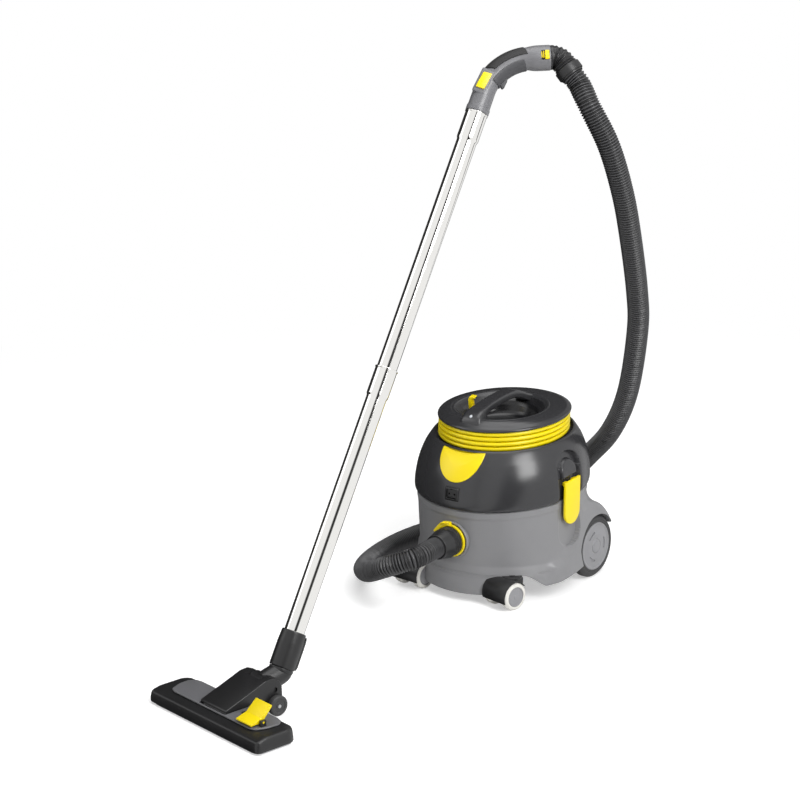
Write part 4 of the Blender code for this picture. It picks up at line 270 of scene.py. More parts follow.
def rounded(corners, radius, closed=False, steps=4):
    """An outline with its corners rounded. The radius is one value, or one for each corner."""
    corners = [Vector(c) for c in corners]
    count, out = len(corners), []
    for i, here in enumerate(corners):
        r = radius[i] if isinstance(radius, (list, tuple)) else radius
        a, b = corners[i - 1] - here, corners[(i + 1) % count] - here
        turn = a.angle(b) if a.length and b.length else math.pi
        if r == 0 or (not closed and i in (0, count - 1)) or turn > math.pi - 0.04:
            out.append(tuple(here))
            continue
        cut = min(r / math.tan(turn / 2), 0.49 * a.length, 0.49 * b.length)
        r = cut * math.tan(turn / 2)
        centre = here + (a.normalized() + b.normalized()).normalized() * (r / math.sin(turn / 2))
        first, last = here + a.normalized() * cut - centre, here + b.normalized() * cut - centre
        sweep = math.pi - turn
        for k in range(steps + 1):
            f = k / steps
            arm = (math.sin((1 - f) * sweep) * first + math.sin(f * sweep) * last) / math.sin(sweep)
            out.append(tuple(centre + arm))
    return out


def dense(profile, step):
    """A profile with points added so that none lie further apart than a step."""
    out = [profile[0]]
    for a, b in zip(profile, profile[1:]):
        count = max(1, math.ceil(math.dist(a, b) / step))
        out += [tuple(p + (q - p) * k / count for p, q in zip(a, b)) for k in range(1, count + 1)]
    return out


def object_of(vertices, faces=(), edges=()):
    mesh = bpy.data.meshes.new("shape")
    mesh.from_pydata([tuple(v) for v in vertices], edges, [tuple(f) for f in faces])
    made = bpy.data.objects.new("shape", mesh)
    scene.collection.objects.link(made)
    return made


def tidied(obj):
    """Merges doubled points, fills what is open and turns every face outwards."""
    work = bmesh.new()
    work.from_mesh(obj.data)
    bmesh.ops.remove_doubles(work, verts=work.verts, dist=2e-6)
    bmesh.ops.holes_fill(work, edges=[e for e in work.edges if e.is_boundary], sides=0)
    bmesh.ops.recalc_face_normals(work, faces=work.faces)
    work.to_mesh(obj.data)
    work.free()
    return obj


def skin(rings, loop=False):
    """A closed surface through rings of equally many points, given as an array of rings."""
    rings = np.asarray(rings, float)
    rows, around = rings.shape[:2]
    at = np.arange(rows * around).reshape(rows, around)
    nxt = np.roll(at, -1, axis=1)
    pairs = [(i, (i + 1) % rows) for i in range(rows if loop else rows - 1)]
    faces = []
    for i, j in pairs:
        faces += list(zip(at[i], at[j], nxt[j], nxt[i]))
    if not loop:
        faces += [tuple(at[0][::-1]), tuple(at[-1])]
    return tidied(object_of(rings.reshape(-1, 3), faces))


def turned(profile, steps=128, loop=False, centre=None):
    """A profile of (radius, height) turned about Z. Its centre may move across Y from row to row."""
    angles = np.arange(steps) * 2 * math.pi / steps
    rows = np.array(profile, float)
    ring = np.stack([np.cos(angles), np.sin(angles), np.zeros(steps)], axis=-1)
    rings = ring[None] * rows[:, 0][:, None, None]
    rings[..., 2] = rows[:, 1][:, None]
    if centre is not None:
        rings[..., 1] += np.array(centre, float)[:, None]
    return skin(rings, loop)


def rod(radius, start, end, steps=48):
    """A plain cylinder along Z."""
    return turned([(0, start), (radius, start), (radius, end), (0, end)], steps)


def turned_ring(profile, radii, around=96, steps=4):
    """A closed profile with its corners rounded, turned about Z."""
    return turned(rounded(profile, radii, closed=True, steps=steps), around, loop=True)


def moved(obj, matrix):
    obj.data.transform(matrix)
    return obj


def lay_out(side=1):
    """Turns a shape that stands along Z so that it points to the given side."""
    return Matrix.Rotation(side * math.pi / 2, 4, "Y")


def lay_front(x, y, z):
    """Turns a shape that stands along Z so that it points to the front, and puts it in its place."""
    return Matrix.Translation((x, y, z)) @ Matrix.Rotation(math.pi / 2, 4, "X")


def boolean(obj, other, operation="DIFFERENCE"):
    """Cuts, joins or keeps what two shapes share, and uses the other one up."""
    step = obj.modifiers.new("step", "BOOLEAN")
    step.operation = operation
    step.object = other
    step.solver = "EXACT"
    flat(obj)
    bpy.data.objects.remove(other)
    return obj


def flat(obj):
    """Turns an object with modifiers into its plain mesh."""
    bpy.context.view_layer.update()
    made = bpy.data.meshes.new_from_object(obj.evaluated_get(bpy.context.evaluated_depsgraph_get()))
    obj.modifiers.clear()
    obj.data = made
    return obj


def bevelled(obj, width, segments=3, angle=35):
    step = obj.modifiers.new("edges", "BEVEL")
    step.width = width
    step.segments = segments
    step.limit_method = "ANGLE"
    step.angle_limit = math.radians(angle)
    step.use_clamp_overlap = True
    return flat(obj)


def smin(a, b, k):
    """The smaller of two distances, blended over k where they are close."""
    h = np.maximum(k - np.abs(a - b), 0) / k
    return np.minimum(a, b) - h * h * k / 4


def outline_distance(y, z, outline):
    """Signed distance from points to a closed outline, less than 0 inside it."""
    points = np.stack([y, z], axis=-1)
    corners = np.array(outline, float)
    best = np.full(y.shape, 9.0)
    inside = np.zeros(y.shape, bool)
    for a, b in zip(corners, np.roll(corners, -1, axis=0)):
        edge, away = b - a, points - a
        t = np.clip((away @ edge) / (edge @ edge), 0, 1)
        best = np.minimum(best, np.linalg.norm(away - t[..., None] * edge, axis=-1))
        crosses = (a[1] > points[..., 1]) != (b[1] > points[..., 1])
        with np.errstate(divide="ignore", invalid="ignore"):
            at = a[0] + (points[..., 1] - a[1]) * edge[0] / (edge[1] if edge[1] else 1e-12)
        inside ^= crosses & (points[..., 0] < at)
    return np.where(inside, -best, best)


def both(a, b, radius):
    """Distance to what two shapes share, with a rounded edge."""
    return np.minimum(-radius, np.maximum(a, b)) + np.hypot(
        np.maximum(a + radius, 0), np.maximum(b + radius, 0)
    )


def surface_radius(field, angle, z, low, high):
    """How far out a field is 0 along rays from the axis, for arrays of angles and heights."""
    reach = np.linspace(high, low, 56)
    before = field(high * np.cos(angle), high * np.sin(angle), z)
    done = np.zeros(angle.shape, bool)
    last = high
    inner, outer = np.full(angle.shape, low), np.full(angle.shape, high)
    for r in reach[1:]:
        now = field(r * np.cos(angle), r * np.sin(angle), z)
        hit = (now <= 0) & (before > 0) & ~done
        inner[hit], outer[hit] = r, last
        done |= hit
        before, last = now, r
    for _ in range(18):
        middle = (inner + outer) / 2
        value = field(middle * np.cos(angle), middle * np.sin(angle), z)
        outer = np.where(value > 0, middle, outer)
        inner = np.where(value > 0, inner, middle)
    return (inner + outer) / 2


def smooth_edges(obj, angle=32):
    obj.data.shade_smooth()
    obj.data.set_sharp_from_angle(angle=math.radians(angle))
    return obj


def fitted(obj, name, body, material, stands_for=(), angle=32):
    """Puts a finished shape in its place on the machine, gives it its finish and ties it to its body."""
    obj.name = name
    obj.data.name = name
    obj.data.transform(Matrix.Translation(TUB))
    smooth_edges(obj, angle)
    obj.data.materials.clear()
    obj.data.materials.append(material)
    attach(obj, body)
    if stands_for:
        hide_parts(*stands_for)
    return obj


wall = np.array(
    dense(rounded(TUB_WALL, [0, 0.0016, 0.002, 0.003, 0.02, 0.012, 0.012, 0.03, 0.03, 0.02, 0]), 0.002)
)
arch = []
for i in range(14):
    swing = math.radians(32 + (115 - 32) * i / 13)
    reach = 0.0635 + 0.0300 * (i / 13) ** 1.6
    arch.append((WHEEL_Y + reach * math.cos(swing), WHEEL_Z + reach * math.sin(swing)))
arch += [(0.026, 0.1420), (0.014, 0.1250), (0.006, 0.1000), (-0.006, 0.0790), (-0.030, 0.0610)]
arch += [(-0.050, 0.0560), (-0.050, 0.0100), (WHEEL_Y, 0.0100)]
CHANNEL_HALF, CHANNEL_Z = 0.0262, 0.112
channel = [(LATCH_Y + CHANNEL_HALF, 0.30), (LATCH_Y + CHANNEL_HALF, CHANNEL_Z)]
for angle in np.linspace(0.1, math.pi - 0.1, 14):
    channel.append((LATCH_Y + CHANNEL_HALF * math.cos(angle), CHANNEL_Z - CHANNEL_HALF * math.sin(angle)))
channel += [(LATCH_Y - CHANNEL_HALF, CHANNEL_Z), (LATCH_Y - CHANNEL_HALF, 0.30)]


def tub_field(x, y, z):
    """Distance to the tub's outside: the wall and skirt, the fenders blended into it, and the channels."""
    radial = np.hypot(x, y) - np.interp(z, wall[::-1, 1], wall[::-1, 0])
    fender = both(outline_distance(y, z, arch), np.abs(x) - FENDER_X, 0.009)
    whole = smin(radial, fender, 0.020)
    slot_cut = both(outline_distance(y, z, channel), 0.1440 - np.abs(x), 0.0005)
    return -smin(-whole, slot_cut, 0.0030)


def skirt_edge(angle):
    """Height of the skirt's lower edge: a slope up to the back, and an arch over each caster."""
    y = 0.158 * np.sin(angle)
    turn = np.degrees(np.arctan2(np.abs(np.cos(angle)), -np.sin(angle)))
    offset = np.clip((turn - 46.0) / np.where(turn < 46.0, 20.0, 18.0), -1, 1)
    return 0.0350 + 0.1226 * y + 0.0285 * np.cos(offset * math.pi / 2) ** 1.3


spread = np.linspace(0, 2 * math.pi, 2001)
weight = 1 + 1.6 * (np.abs(np.cos(spread)) > 0.74)
travel = np.concatenate([[0], np.cumsum((weight[1:] + weight[:-1]) / 2)])
around = np.interp(np.arange(440) / 440 * travel[-1], travel, spread)
edge = skirt_edge(around)
rows = 96
share = np.linspace(0, 1, rows) ** 0.92
heights = SEAM_Z - 0.0001 - share[:, None] * (SEAM_Z - 0.0001 - edge[None] - 0.0012)
angles = np.broadcast_to(around, heights.shape)
radii = surface_radius(tub_field, angles, heights, 0.130, 0.205)
rings = []


def ring_at(radius, height):
    radius = np.broadcast_to(radius, around.shape)
    height = np.broadcast_to(height, around.shape)
    rings.append(np.stack([radius * np.cos(around), radius * np.sin(around), height], axis=-1))


for r, z in rounded(CAVITY_STEPS, [0, 0.004, 0.002, 0.002, 0.002, 0.001, 0.001, 0.0008, 0], steps=3):
    ring_at(r, z)
for r, z in zip(radii, heights):
    ring_at(r, z)
last = radii[-1]
ring_at(last - 0.0004, edge + 0.0004)
ring_at(last - 0.0012, edge)
ring_at(last - 0.0022, edge)
ring_at(last - 0.0030, edge + 0.0006)
for step in range(1, 8):
    ring_at(last - 0.0030, edge + 0.0006 + (0.0524 - edge) * step / 7)
ring_at(0.0, 0.0530)
tub = skin(rake(rings))
for side in (1, -1):
    well = turned(
        rounded([(0.0, 0.0), (TYRE_RADIUS + 0.002, 0.0), (TYRE_RADIUS + 0.002, 0.08), (0.0, 0.08)], 0.002), 96
    )
    boolean(
        tub,
        moved(well, Matrix.Translation((side * (WHEEL_INNER_X - 0.002), WHEEL_Y, WHEEL_Z)) @ lay_out(side))
    )
inlet = rod(0.0313, -0.03, 0.03, 96)
boolean(tub, moved(inlet, lay_front(0, -0.150, 0.110)))
fitted(tub, "tub", "base", abs_grey, ["container"])


# ---- rear wheels --------------------------------------------------------------------------------
# Each rear wheel is a grey nylon disc with a rubber tyre pressed over it. The disc is dished between
# its rim and a raised centre cap, and has three curved finger grooves.
def block(low, high, bevel=0.0, segments=3):
    """A box between two corners, with its edges rounded."""
    corners = [(x, y, z) for z in (low[2], high[2]) for y in (low[1], high[1]) for x in (low[0], high[0])]
    faces = [(0, 2, 3, 1), (4, 5, 7, 6), (0, 1, 5, 4), (2, 6, 7, 3), (0, 4, 6, 2), (1, 3, 7, 5)]
    made = object_of(corners, faces)
    return bevelled(made, bevel, segments) if bevel else made


def inset(outline, distance):
    """An outline that runs anticlockwise, drawn in along its normals."""
    points = np.array(outline, float)
    along = np.roll(points, -1, axis=0) - np.roll(points, 1, axis=0)
    along /= np.maximum(np.linalg.norm(along, axis=1), 1e-9)[:, None]
    return points + distance * np.stack([-along[:, 1], along[:, 0]], axis=-1)


def prism(outline, low, high, across="Z", bevel=0.0, segments=3):
    """A flat outline raised into a solid with rounded rims, given as (y, z) across X and (x, z) across Y."""
    order = {"Z": [0, 1, 2], "Y": [0, 2, 1], "X": [2, 0, 1]}[across]
    outline = np.array(outline, float)
    after = np.roll(outline, -1, axis=0)
    if (outline[:, 0] * after[:, 1] - outline[:, 1] * after[:, 0]).sum() < 0:
        outline = outline[::-1]
    turns = np.linspace(0, math.pi / 2, segments + 1) if bevel else [math.pi / 2]
    ends = [(bevel * (1 - math.sin(a)), bevel * (1 - math.cos(a))) for a in turns]
    levels = [(d, low + h) for d, h in ends] + [(d, high - h) for d, h in reversed(ends)]
    return skin([np.column_stack([inset(outline, d), np.full(len(outline), h)])[:, order] for d, h in levels])


def together(*objs):
    """One object of several that lie apart."""
    work = bmesh.new()
    for obj in objs:
        work.from_mesh(obj.data)
    work.to_mesh(objs[0].data)
    work.free()
    for obj in objs[1:]:
        bpy.data.objects.remove(obj)
    return objs[0]


def copy_of(obj, matrix=None):
    made = bpy.data.objects.new("copy", obj.data.copy())
    scene.collection.objects.link(made)
    if matrix is not None:
        made.data.transform(matrix)
        if matrix.determinant() < 0:
            made.data.flip_normals()
    return made


MIRROR = Matrix.Scale(-1, 4, (1, 0, 0))
# Black rubber that has run over dust: matt, with a faint grey bloom.
tyre_rubber = moulded("tyre_rubber", "#3b3b3c", 0.62, 0.9, 0.30, 0.05, scuff="#6c6c6c")
# Glass-filled nylon in light grey, a little glossier than the tub.
wheel_nylon = moulded("wheel_nylon_light_grey", "#8f8f92", 0.38, 1.4, 0.14)
TYRE = [
    (0.0433, 0.0015), (0.0510, 0.0015), (0.0570, 0.0070), (0.0570, 0.0092), (0.0562, 0.0095),
    (0.0562, 0.0105), (0.0570, 0.0108), (0.0570, 0.0132), (0.0562, 0.0135), (0.0562, 0.0145),
    (0.0570, 0.0148), (0.0570, 0.0172), (0.0515, 0.0232), (0.0486, 0.0235), (0.0481, 0.0228),
    (0.0472, 0.0228), (0.0467, 0.0236), (0.0433, 0.0238),
]
TYRE_CORNERS = [0, 0.004, 0.005] + [0.0003] * 8 + [0.006, 0.004, 0.0004, 0.0003, 0.0003, 0.0004, 0.0006]
DISC = [
    (0.0, 0.0254), (0.0088, 0.0252), (0.0113, 0.0245), (0.0119, 0.0236), (0.0125, 0.0229), (0.0132, 0.0237),
    (0.0150, 0.0242), (0.0250, 0.0240), (0.0350, 0.0230), (0.0385, 0.0226), (0.0402, 0.0239),
    (0.0424, 0.0239), (0.0430, 0.0232), (0.0430, 0.0018), (0.0400, 0.0018), (0.0370, 0.0080),
    (0.0120, 0.0060), (0.0120, 0.0002), (0.0064, 0.0002), (0.0064, 0.0212), (0.0, 0.0212),
]
DISC_CORNERS = [
    0, 0.01, 0.0010, 0.0003, 0.0004, 0.0006, 0.003, 0.02, 0.01, 0.002, 0.0008, 0.0006, 0.0005, 0.0004, 0.0005,
    0.001, 0.001, 0.0003, 0.0003, 0, 0
]
GROOVE_RADIUS, GROOVE_HALF_WIDTH, GROOVE_TIP = 0.0265, 0.0022525, 0.425
sweep = np.radians(np.linspace(-20, 20, 15))
groove = [(GROOVE_RADIUS + GROOVE_HALF_WIDTH, a) for a in sweep] + [(GROOVE_RADIUS, GROOVE_TIP)]
groove += [(GROOVE_RADIUS - GROOVE_HALF_WIDTH, a) for a in sweep[::-1]] + [(GROOVE_RADIUS, -GROOVE_TIP)]
groove = rounded([(r * math.cos(a), r * math.sin(a)) for r, a in groove], 0.0014, closed=True)
for side, name in ((1, "right"), (-1, "left")):
    to_side = Matrix.Translation((side * WHEEL_INNER_X, WHEEL_Y, WHEEL_Z)) @ lay_out(side)
    tyre = moved(turned_ring(TYRE, TYRE_CORNERS, 128, 3), to_side)
    fitted(tyre, "rear_tyre_rubber_" + name, "wheel_" + name, tyre_rubber, ["rear_tyre_" + name])
    disc = turned(rounded(DISC, DISC_CORNERS, steps=3), 128)
    cutters = [
        moved(prism(groove, 0.0222, 0.03), Matrix.Rotation(math.radians(90 + 120 * i), 4, "Z"))
        for i in range(3)
    ]
    boolean(disc, together(*cutters))
    moved(disc, to_side)
    fitted(
        disc, "rear_wheel_disc_" + name, "wheel_" + name, wheel_nylon, ["rear_wheel_" + name]
    )

# ---- casters ------------------------------------------------------------------------------------
# Each caster is a black hood over twin wheels, swivelling on a stem under the tub. Its wheels are grey
# discs in off-white polyurethane tyres.
CASTER_X, CASTER_Y, TRAIL, CASTER_R, TRACK = 0.0978, -0.1143, 0.0180, 0.0245, 0.0440
# Injection-moulded black nylon, slightly glossy on its rounded edges.
black_nylon = moulded("black_nylon", "#1f1f20", 0.38, 1.2, 0.16, 0.06, scuff="#5a5a5a")
# Off-white polyurethane, soft and nearly matt.
caster_tread = moulded("caster_polyurethane", "#e6e4de", 0.50, 0.8, 0.12, 0.03, scuff="#b5b2aa")
roof = 0.0522
HOOD = [
    (0.0165, roof - 0.0030), (0.0150, roof - 0.0190), (-0.0080, 0.0150), (-0.0200, 0.0138), (-0.0310, 0.0180),
    (-0.0345, 0.0330), (-0.0240, 0.0470), (-0.0100, roof - 0.0010),
]
hood_line = rounded(HOOD, [0.004, 0.004, 0.006, 0.006, 0.008, 0.012, 0.014, 0.004], closed=True, steps=5)
guard = [(0.0267, a) for a in np.radians(np.linspace(35, 198, 28))]
guard += [(0.0253, a) for a in np.radians(np.linspace(198, 35, 28))]
for side, name, swing in ((1, "right", -13), (-1, "left", -6)):
    stand = Matrix.Translation((side * CASTER_X, CASTER_Y, 0)) @ Matrix.Rotation(math.radians(swing), 4, "Z")
    fork = prism(hood_line, -0.01295, 0.01295, "X", 0.0030, 4)
    plate = [(0, roof - 0.0003), (0.0175, roof - 0.0003), (0.0175, roof - 0.0040), (0, roof - 0.0040)]
    plate = turned(rounded(plate, 0.0008), 48)
    stem = rod(0.0055, roof + 0.0006, roof - 0.003, 32)
    pin = moved(rod(0.0030, 0.0260, -0.0260, 24), Matrix.Translation((0, -TRAIL, CASTER_R)) @ lay_out())
    bow = [(-TRAIL + r * math.cos(a), CASTER_R + r * math.sin(a)) for r, a in guard]
    bow = prism(bow, -0.0288, 0.0288, "X", 0.0005, 2)
    for part in (plate, stem, pin, bow):
        boolean(fork, part, "UNION")
    fitted(
        moved(fork, stand), "caster_hood_" + name, "fork_" + name, black_nylon, ["caster_fork_" + name],
    )
    for half_side in (1, -1):
        label = name + ("_a" if half_side * side > 0 else "_b")
        turn = stand @ Matrix.Translation((half_side * TRACK / 2, -TRAIL, CASTER_R)) @ lay_out(half_side)
        ring = [
            (0.0172, 0.0060), (0.0176, 0.0078), (0.0205, 0.0082), (0.0245, 0.0046), (0.0245, -0.0046),
            (0.0215, -0.0082), (0.0172, -0.0082),
        ]
        tread = turned_ring(ring, [0, 0.0006, 0.003, 0.004, 0.004, 0.003, 0.0005], 72)
        tread = moved(tread, turn)
        disc = [
            (0, 0.0082), (0.0040, 0.0082), (0.0046, 0.0074), (0.0150, 0.0070), (0.0162, 0.0080),
            (0.0170, 0.0074), (0.0170, -0.0080), (0.0034, -0.0080), (0.0034, 0.0052), (0, 0.0052),
        ]
        disc = turned(rounded(disc, [0, 0.0005, 0.0005, 0.001, 0.0006, 0.0005, 0, 0, 0, 0]), 72)
        disc = moved(disc, turn)
        fitted(
            tread, "caster_tread_" + label, "caster_" + label, caster_tread, ["caster_wheel_" + label],
        )
        fitted(disc, "caster_disc_" + label, "caster_" + label, wheel_nylon, ())

# ---- inlet --------------------------------------------------------------------------------------
# A grey flange round the inlet carries a yellow bayonet ring, whose catch is pushed to free the hose's
# black collar.
INLET_Z, FACE_Y, BACK_Y = 0.1100, -0.1545, -0.1400
# Signal-yellow ABS, polished mould: clean colour with a soft highlight.
yellow_abs = moulded("yellow_abs", "#fadf00", 0.30, 1.8, 0.06, 0.02, scuff="#e8d040")
# Black ABS of the collar and elbow, satin.
black_abs = moulded("black_abs", "#242425", 0.34, 1.2, 0.14, 0.06, scuff="#606060")
flange = [
    (0.0226, 0.0), (0.0310, 0.0), (0.0310, 0.0095), (0.0330, 0.0105), (0.0330, 0.0135), (0.0322, 0.0145),
    (0.0300, 0.0145), (0.0294, 0.0120), (0.0240, 0.0120), (0.0226, 0.0145),
]
flange = turned_ring(flange, [0, 0.0005, 0, 0.0008, 0.0008, 0.0006, 0.0006, 0.0006, 0.0006, 0], 96)
fitted(
    moved(flange, lay_front(0, BACK_Y, INLET_Z)), "inlet_flange_rim", "base", abs_grey, ["inlet_flange"],
)
hold = [(0.0226, 0.0), (0.0290, 0.0), (0.0290, 0.0040), (0.0226, 0.0040)]
hold = turned_ring(hold, [0.0004, 0.0012, 0.0012, 0.0006])
catch = [
    (-0.0350, 0.0130), (-0.0270, 0.0090), (-0.0185, 0.0205), (-0.0060, 0.0262), (0.0010, 0.0275),
    (0.0010, 0.0340), (-0.0170, 0.0335),
]
catch = rounded(catch, [0.002, 0.001, 0.006, 0.01, 0.001, 0.0015, 0.02], closed=True)
catch = prism(catch, 0.0, 0.0075, "Z", 0.0010)
thumb = [(-0.0160, 0.0290), (-0.0060, 0.0305), (-0.0060, 0.0325), (-0.0160, 0.0325)]
thumb = prism(rounded(thumb, 0.0008, closed=True), 0.0070, 0.0090, "Z", 0.0006)
hold = boolean(boolean(hold, catch, "UNION"), thumb, "UNION")
fitted(
    moved(hold, lay_front(0, FACE_Y - 0.0003, INLET_Z)), "bayonet_ring_yellow", "bayonet_ring", yellow_abs,
    ["bayonet_ring"]
)
nose = -FACE_Y + 0.0046
end = nose + 0.0420
collar = [
    (0.0170, -BACK_Y - 0.0020), (0.0215, -BACK_Y - 0.0020), (0.0215, nose), (0.0262, nose),
    (0.0262, nose + 0.0078), (0.0245, nose + 0.0086), (0.0245, nose + 0.0112), (0.0262, nose + 0.0120),
    (0.0262, nose + 0.0200), (0.0240, end - 0.0130), (0.0216, end), (0.0195, end), (0.0195, end - 0.0160),
    (0.0170, end - 0.0160),
]
collar = turned_ring(
    collar, [0, 0.0004, 0, 0.0010, 0.0004, 0.0004, 0.0004, 0.0004, 0.004, 0.006, 0.0010, 0.0006, 0, 0], 96
)
grips = []
for k in range(24):
    rib = block((-0.0009, 0.0255, nose + 0.0128), (0.0009, 0.0266, nose + 0.0190))
    grips.append(moved(rib, Matrix.Rotation(2 * math.pi * k / 24, 4, "Z")))
boolean(collar, together(*grips), "UNION")
fitted(moved(collar, lay_front(0, 0, INLET_Z)), "hose_collar", "base", black_abs, ["hose_coupling"])

# ---- hose ---------------------------------------------------------------------------------------
# The suction hose is one ribbed vinyl tube, 1.8 m long, from the collar round the tub to the elbow. Its
# rings are 4.6 mm apart, and the furrows between them are painted darker as shade.
HOSE_CREST, HOSE_ROOT, HOSE_PITCH = 0.0188, 0.0160, 0.0046
HOSE_ROUTE = [
    (0, -0.1854, 0.1100), (0, -0.2154, 0.1100), (0, -0.2454, 0.1090), (-0.0130, -0.2680, 0.1040),
    (-0.0480, -0.2810, 0.0900), (-0.0920, -0.2620, 0.0680), (-0.1370, -0.2230, 0.0460),
    (-0.1800, -0.1740, 0.0290), (-0.2090, -0.1180, 0.0205), (-0.2220, -0.0600, 0.0192),
    (-0.2250, 0.0000, 0.0192), (-0.2180, 0.0600, 0.0192), (-0.1980, 0.1180, 0.0200),
    (-0.1600, 0.1680, 0.0260), (-0.1080, 0.2000, 0.0450), (-0.0500, 0.2110, 0.0830), (0.0080, 0.2050, 0.1330),
    (0.0610, 0.1900, 0.1830), (0.1245, 0.1650, 0.2470), (0.1780, 0.1350, 0.3350), (0.2250, 0.0900, 0.4620),
    (0.2420, 0.0600, 0.5390), (0.2560, 0.0150, 0.6460), (0.2590, -0.0150, 0.7255), (0.2520, -0.0450, 0.8050),
    (0.2297, -0.0654, 0.8680),
]
CUFF_END, CUFF_OUT = Vector((0.1954, -0.0643, 0.9177)), Vector((0.6484, 0.0803, -0.7570)).normalized()
HOSE_ROUTE += [CUFF_END + CUFF_OUT * 0.018, CUFF_END, CUFF_END - CUFF_OUT * 0.016]


def smooth_route(points, step):
    """A smooth curve through points, with its own points a step apart."""
    points = [Vector(p) for p in points]
    ends = [points[0] * 2 - points[1]] + points + [points[-1] * 2 - points[-2]]
    fine = []
    for i in range(1, len(ends) - 2):
        a, b, c, d = ends[i - 1 : i + 3]
        for k in range(24):
            t = k / 24
            here = 2 * b + (c - a) * t + (2 * a - 5 * b + 4 * c - d) * t * t
            fine.append(0.5 * (here + (3 * b - a - 3 * c + d) * t**3))
    fine = np.array(fine + [points[-1]])
    travel = np.concatenate([[0], np.cumsum(np.linalg.norm(np.diff(fine, axis=0), axis=1))])
    at = np.linspace(0, travel[-1], max(2, round(travel[-1] / step)) + 1)
    return np.stack([np.interp(at, travel, fine[:, i]) for i in range(3)], axis=-1)


def node_group(name, **inputs):
    """A Geometry Nodes group with named inputs. Returns it with its input and output nodes."""
    group = bpy.data.node_groups.new(name, "GeometryNodeTree")
    group.interface.new_socket("Geometry", in_out="INPUT", socket_type="NodeSocketGeometry")
    for title, kind in inputs.items():
        group.interface.new_socket(title.replace("_", " "), in_out="INPUT", socket_type="NodeSocket" + kind)
    group.interface.new_socket("Geometry", in_out="OUTPUT", socket_type="NodeSocketGeometry")
    return group, node(group, "NodeGroupInput").outputs, node(group, "NodeGroupOutput")


def grown(obj, group, **values):
    """Runs a Geometry Nodes group on an object and keeps the mesh that it makes."""
    step = obj.modifiers.new(group.name, "NODES")
    step.node_group = group
    for item in group.interface.items_tree:
        key = item.name.replace(" ", "_")
        if item.in_out == "INPUT" and key in values:
            step[item.identifier] = values[key]
    return flat(obj)


# Soft black vinyl, satin on the crests, with painted shade darkening the furrows between them.
hose_vinyl = moulded("hose_vinyl", "#444446", 0.40, 1.0, 0.16, 0.06, scuff="#6a6a6a")
tree = hose_vinyl.node_tree
# The rib wave darkens the base colour in the furrows: painted shade between the rings.
height = node(tree, "ShaderNodeAttribute", attribute_name="crest").outputs["Fac"]
shade = node(tree, "ShaderNodeMapRange", {0: height, 1: -0.5, 2: 0.9, 3: 0.12, 4: 1.0})
shader = tree.nodes["Principled BSDF"]
furrow_painted_shade = {0: 1.0, 6: shader.inputs["Base Color"].links[0].from_socket, 7: shade.outputs[0]}
furrow_painted_shade = node(tree, "ShaderNodeMix", furrow_painted_shade, data_type="RGBA", blend_type="MULTIPLY")
tree.links.new(furrow_painted_shade.outputs[2], shader.inputs["Base Color"])
ribs, given, result = node_group(
    "ribbed_tube", Pitch="Float", Root="Float", Crest="Float", Sides="Int", Finish="Material"
)
line = node(ribs, "GeometryNodeMeshToCurve", {0: given["Geometry"]})
row = node(ribs, "ShaderNodeMath", {0: given["Pitch"], 1: 6.0}, operation="DIVIDE")
rows = node(
    ribs, "GeometryNodeResampleCurve", {"Curve": line.outputs[0], "Length": row.outputs[0]}, mode="LENGTH"
)
place = node(ribs, "GeometryNodeSplineParameter")
turns = node(ribs, "ShaderNodeMath", {0: place.outputs["Length"], 1: given["Pitch"]}, operation="DIVIDE")
phase = node(ribs, "ShaderNodeMath", {0: turns.outputs[0], 1: 2 * math.pi}, operation="MULTIPLY")
wave = node(ribs, "ShaderNodeMath", {0: phase.outputs[0]}, operation="COSINE")
radius = node(
    ribs, "ShaderNodeMapRange", {0: wave.outputs[0], 1: -1.0, 2: 1.0, 3: given["Root"], 4: given["Crest"]}
)
ring = node(ribs, "GeometryNodeCurvePrimitiveCircle", {"Resolution": given["Sides"], "Radius": 1.0})
marked = {0: rows.outputs[0], "Name": "crest", "Value": wave.outputs[0]}
marked = node(ribs, "GeometryNodeStoreNamedAttribute", marked, data_type="FLOAT", domain="POINT")
tube = {
    "Curve": marked.outputs[0], "Profile Curve": ring.outputs[0], "Scale": radius.outputs[0],
    "Fill Caps": True
}
tube = node(ribs, "GeometryNodeCurveToMesh", tube)
real = node(ribs, "GeometryNodeRealizeInstances", {0: tube.outputs[0]})
done = node(ribs, "GeometryNodeSetMaterial", {"Geometry": real.outputs[0], "Material": given["Finish"]})
ribs.links.new(done.outputs[0], result.inputs[0])
hose_path = smooth_route(HOSE_ROUTE, 0.006)
hose = object_of(hose_path, edges=[(i, i + 1) for i in range(len(hose_path) - 1)])
hose = grown(hose, ribs, Pitch=HOSE_PITCH, Root=HOSE_ROOT, Crest=HOSE_CREST, Sides=28, Finish=hose_vinyl)
tidied(hose)
fitted(hose, "suction_hose", "base", hose_vinyl, ["hose"], angle=80)
TUB + Vector(HOSE_ROUTE[0])

# ---- head shell ---------------------------------------------------------------------------------
# The motor head is one anthracite ABS dome, satin and slightly glossier than the tub. It has an arched
# recess over each latch, a nest for the button, an opening for the socket and air slots at the back.
head_abs = moulded("anthracite_abs", "#353537", 0.22, 1.6, 0.10, 0.05, scuff="#5c5c5e")
DOME = [
    (0.1228, 0.2725), (0.1270, 0.2704), (0.1370, 0.2560), (0.1418, 0.2467), (0.1472, 0.2330),
    (0.1514, 0.2177), (0.1543, 0.2000), (0.1553, 0.1844), (0.1537, 0.1768), (0.1500, 0.1743),
]
dome = smooth_route([(r, 0, z) for r, z in DOME], 0.0015)[:, [0, 2]]
LINING = [
    (0.1440, 0.1743), (0.1440, 0.1780), (0.1495, 0.1800), (0.1509, 0.1900), (0.1470, 0.2170),
    (0.1375, 0.2440), (0.1270, 0.2605),
]
lining = np.array(LINING)
RECESS_TOP, RECESS_HALF = 0.2547, 0.0300
recess = [(LATCH_Y + RECESS_HALF, 0.14)]
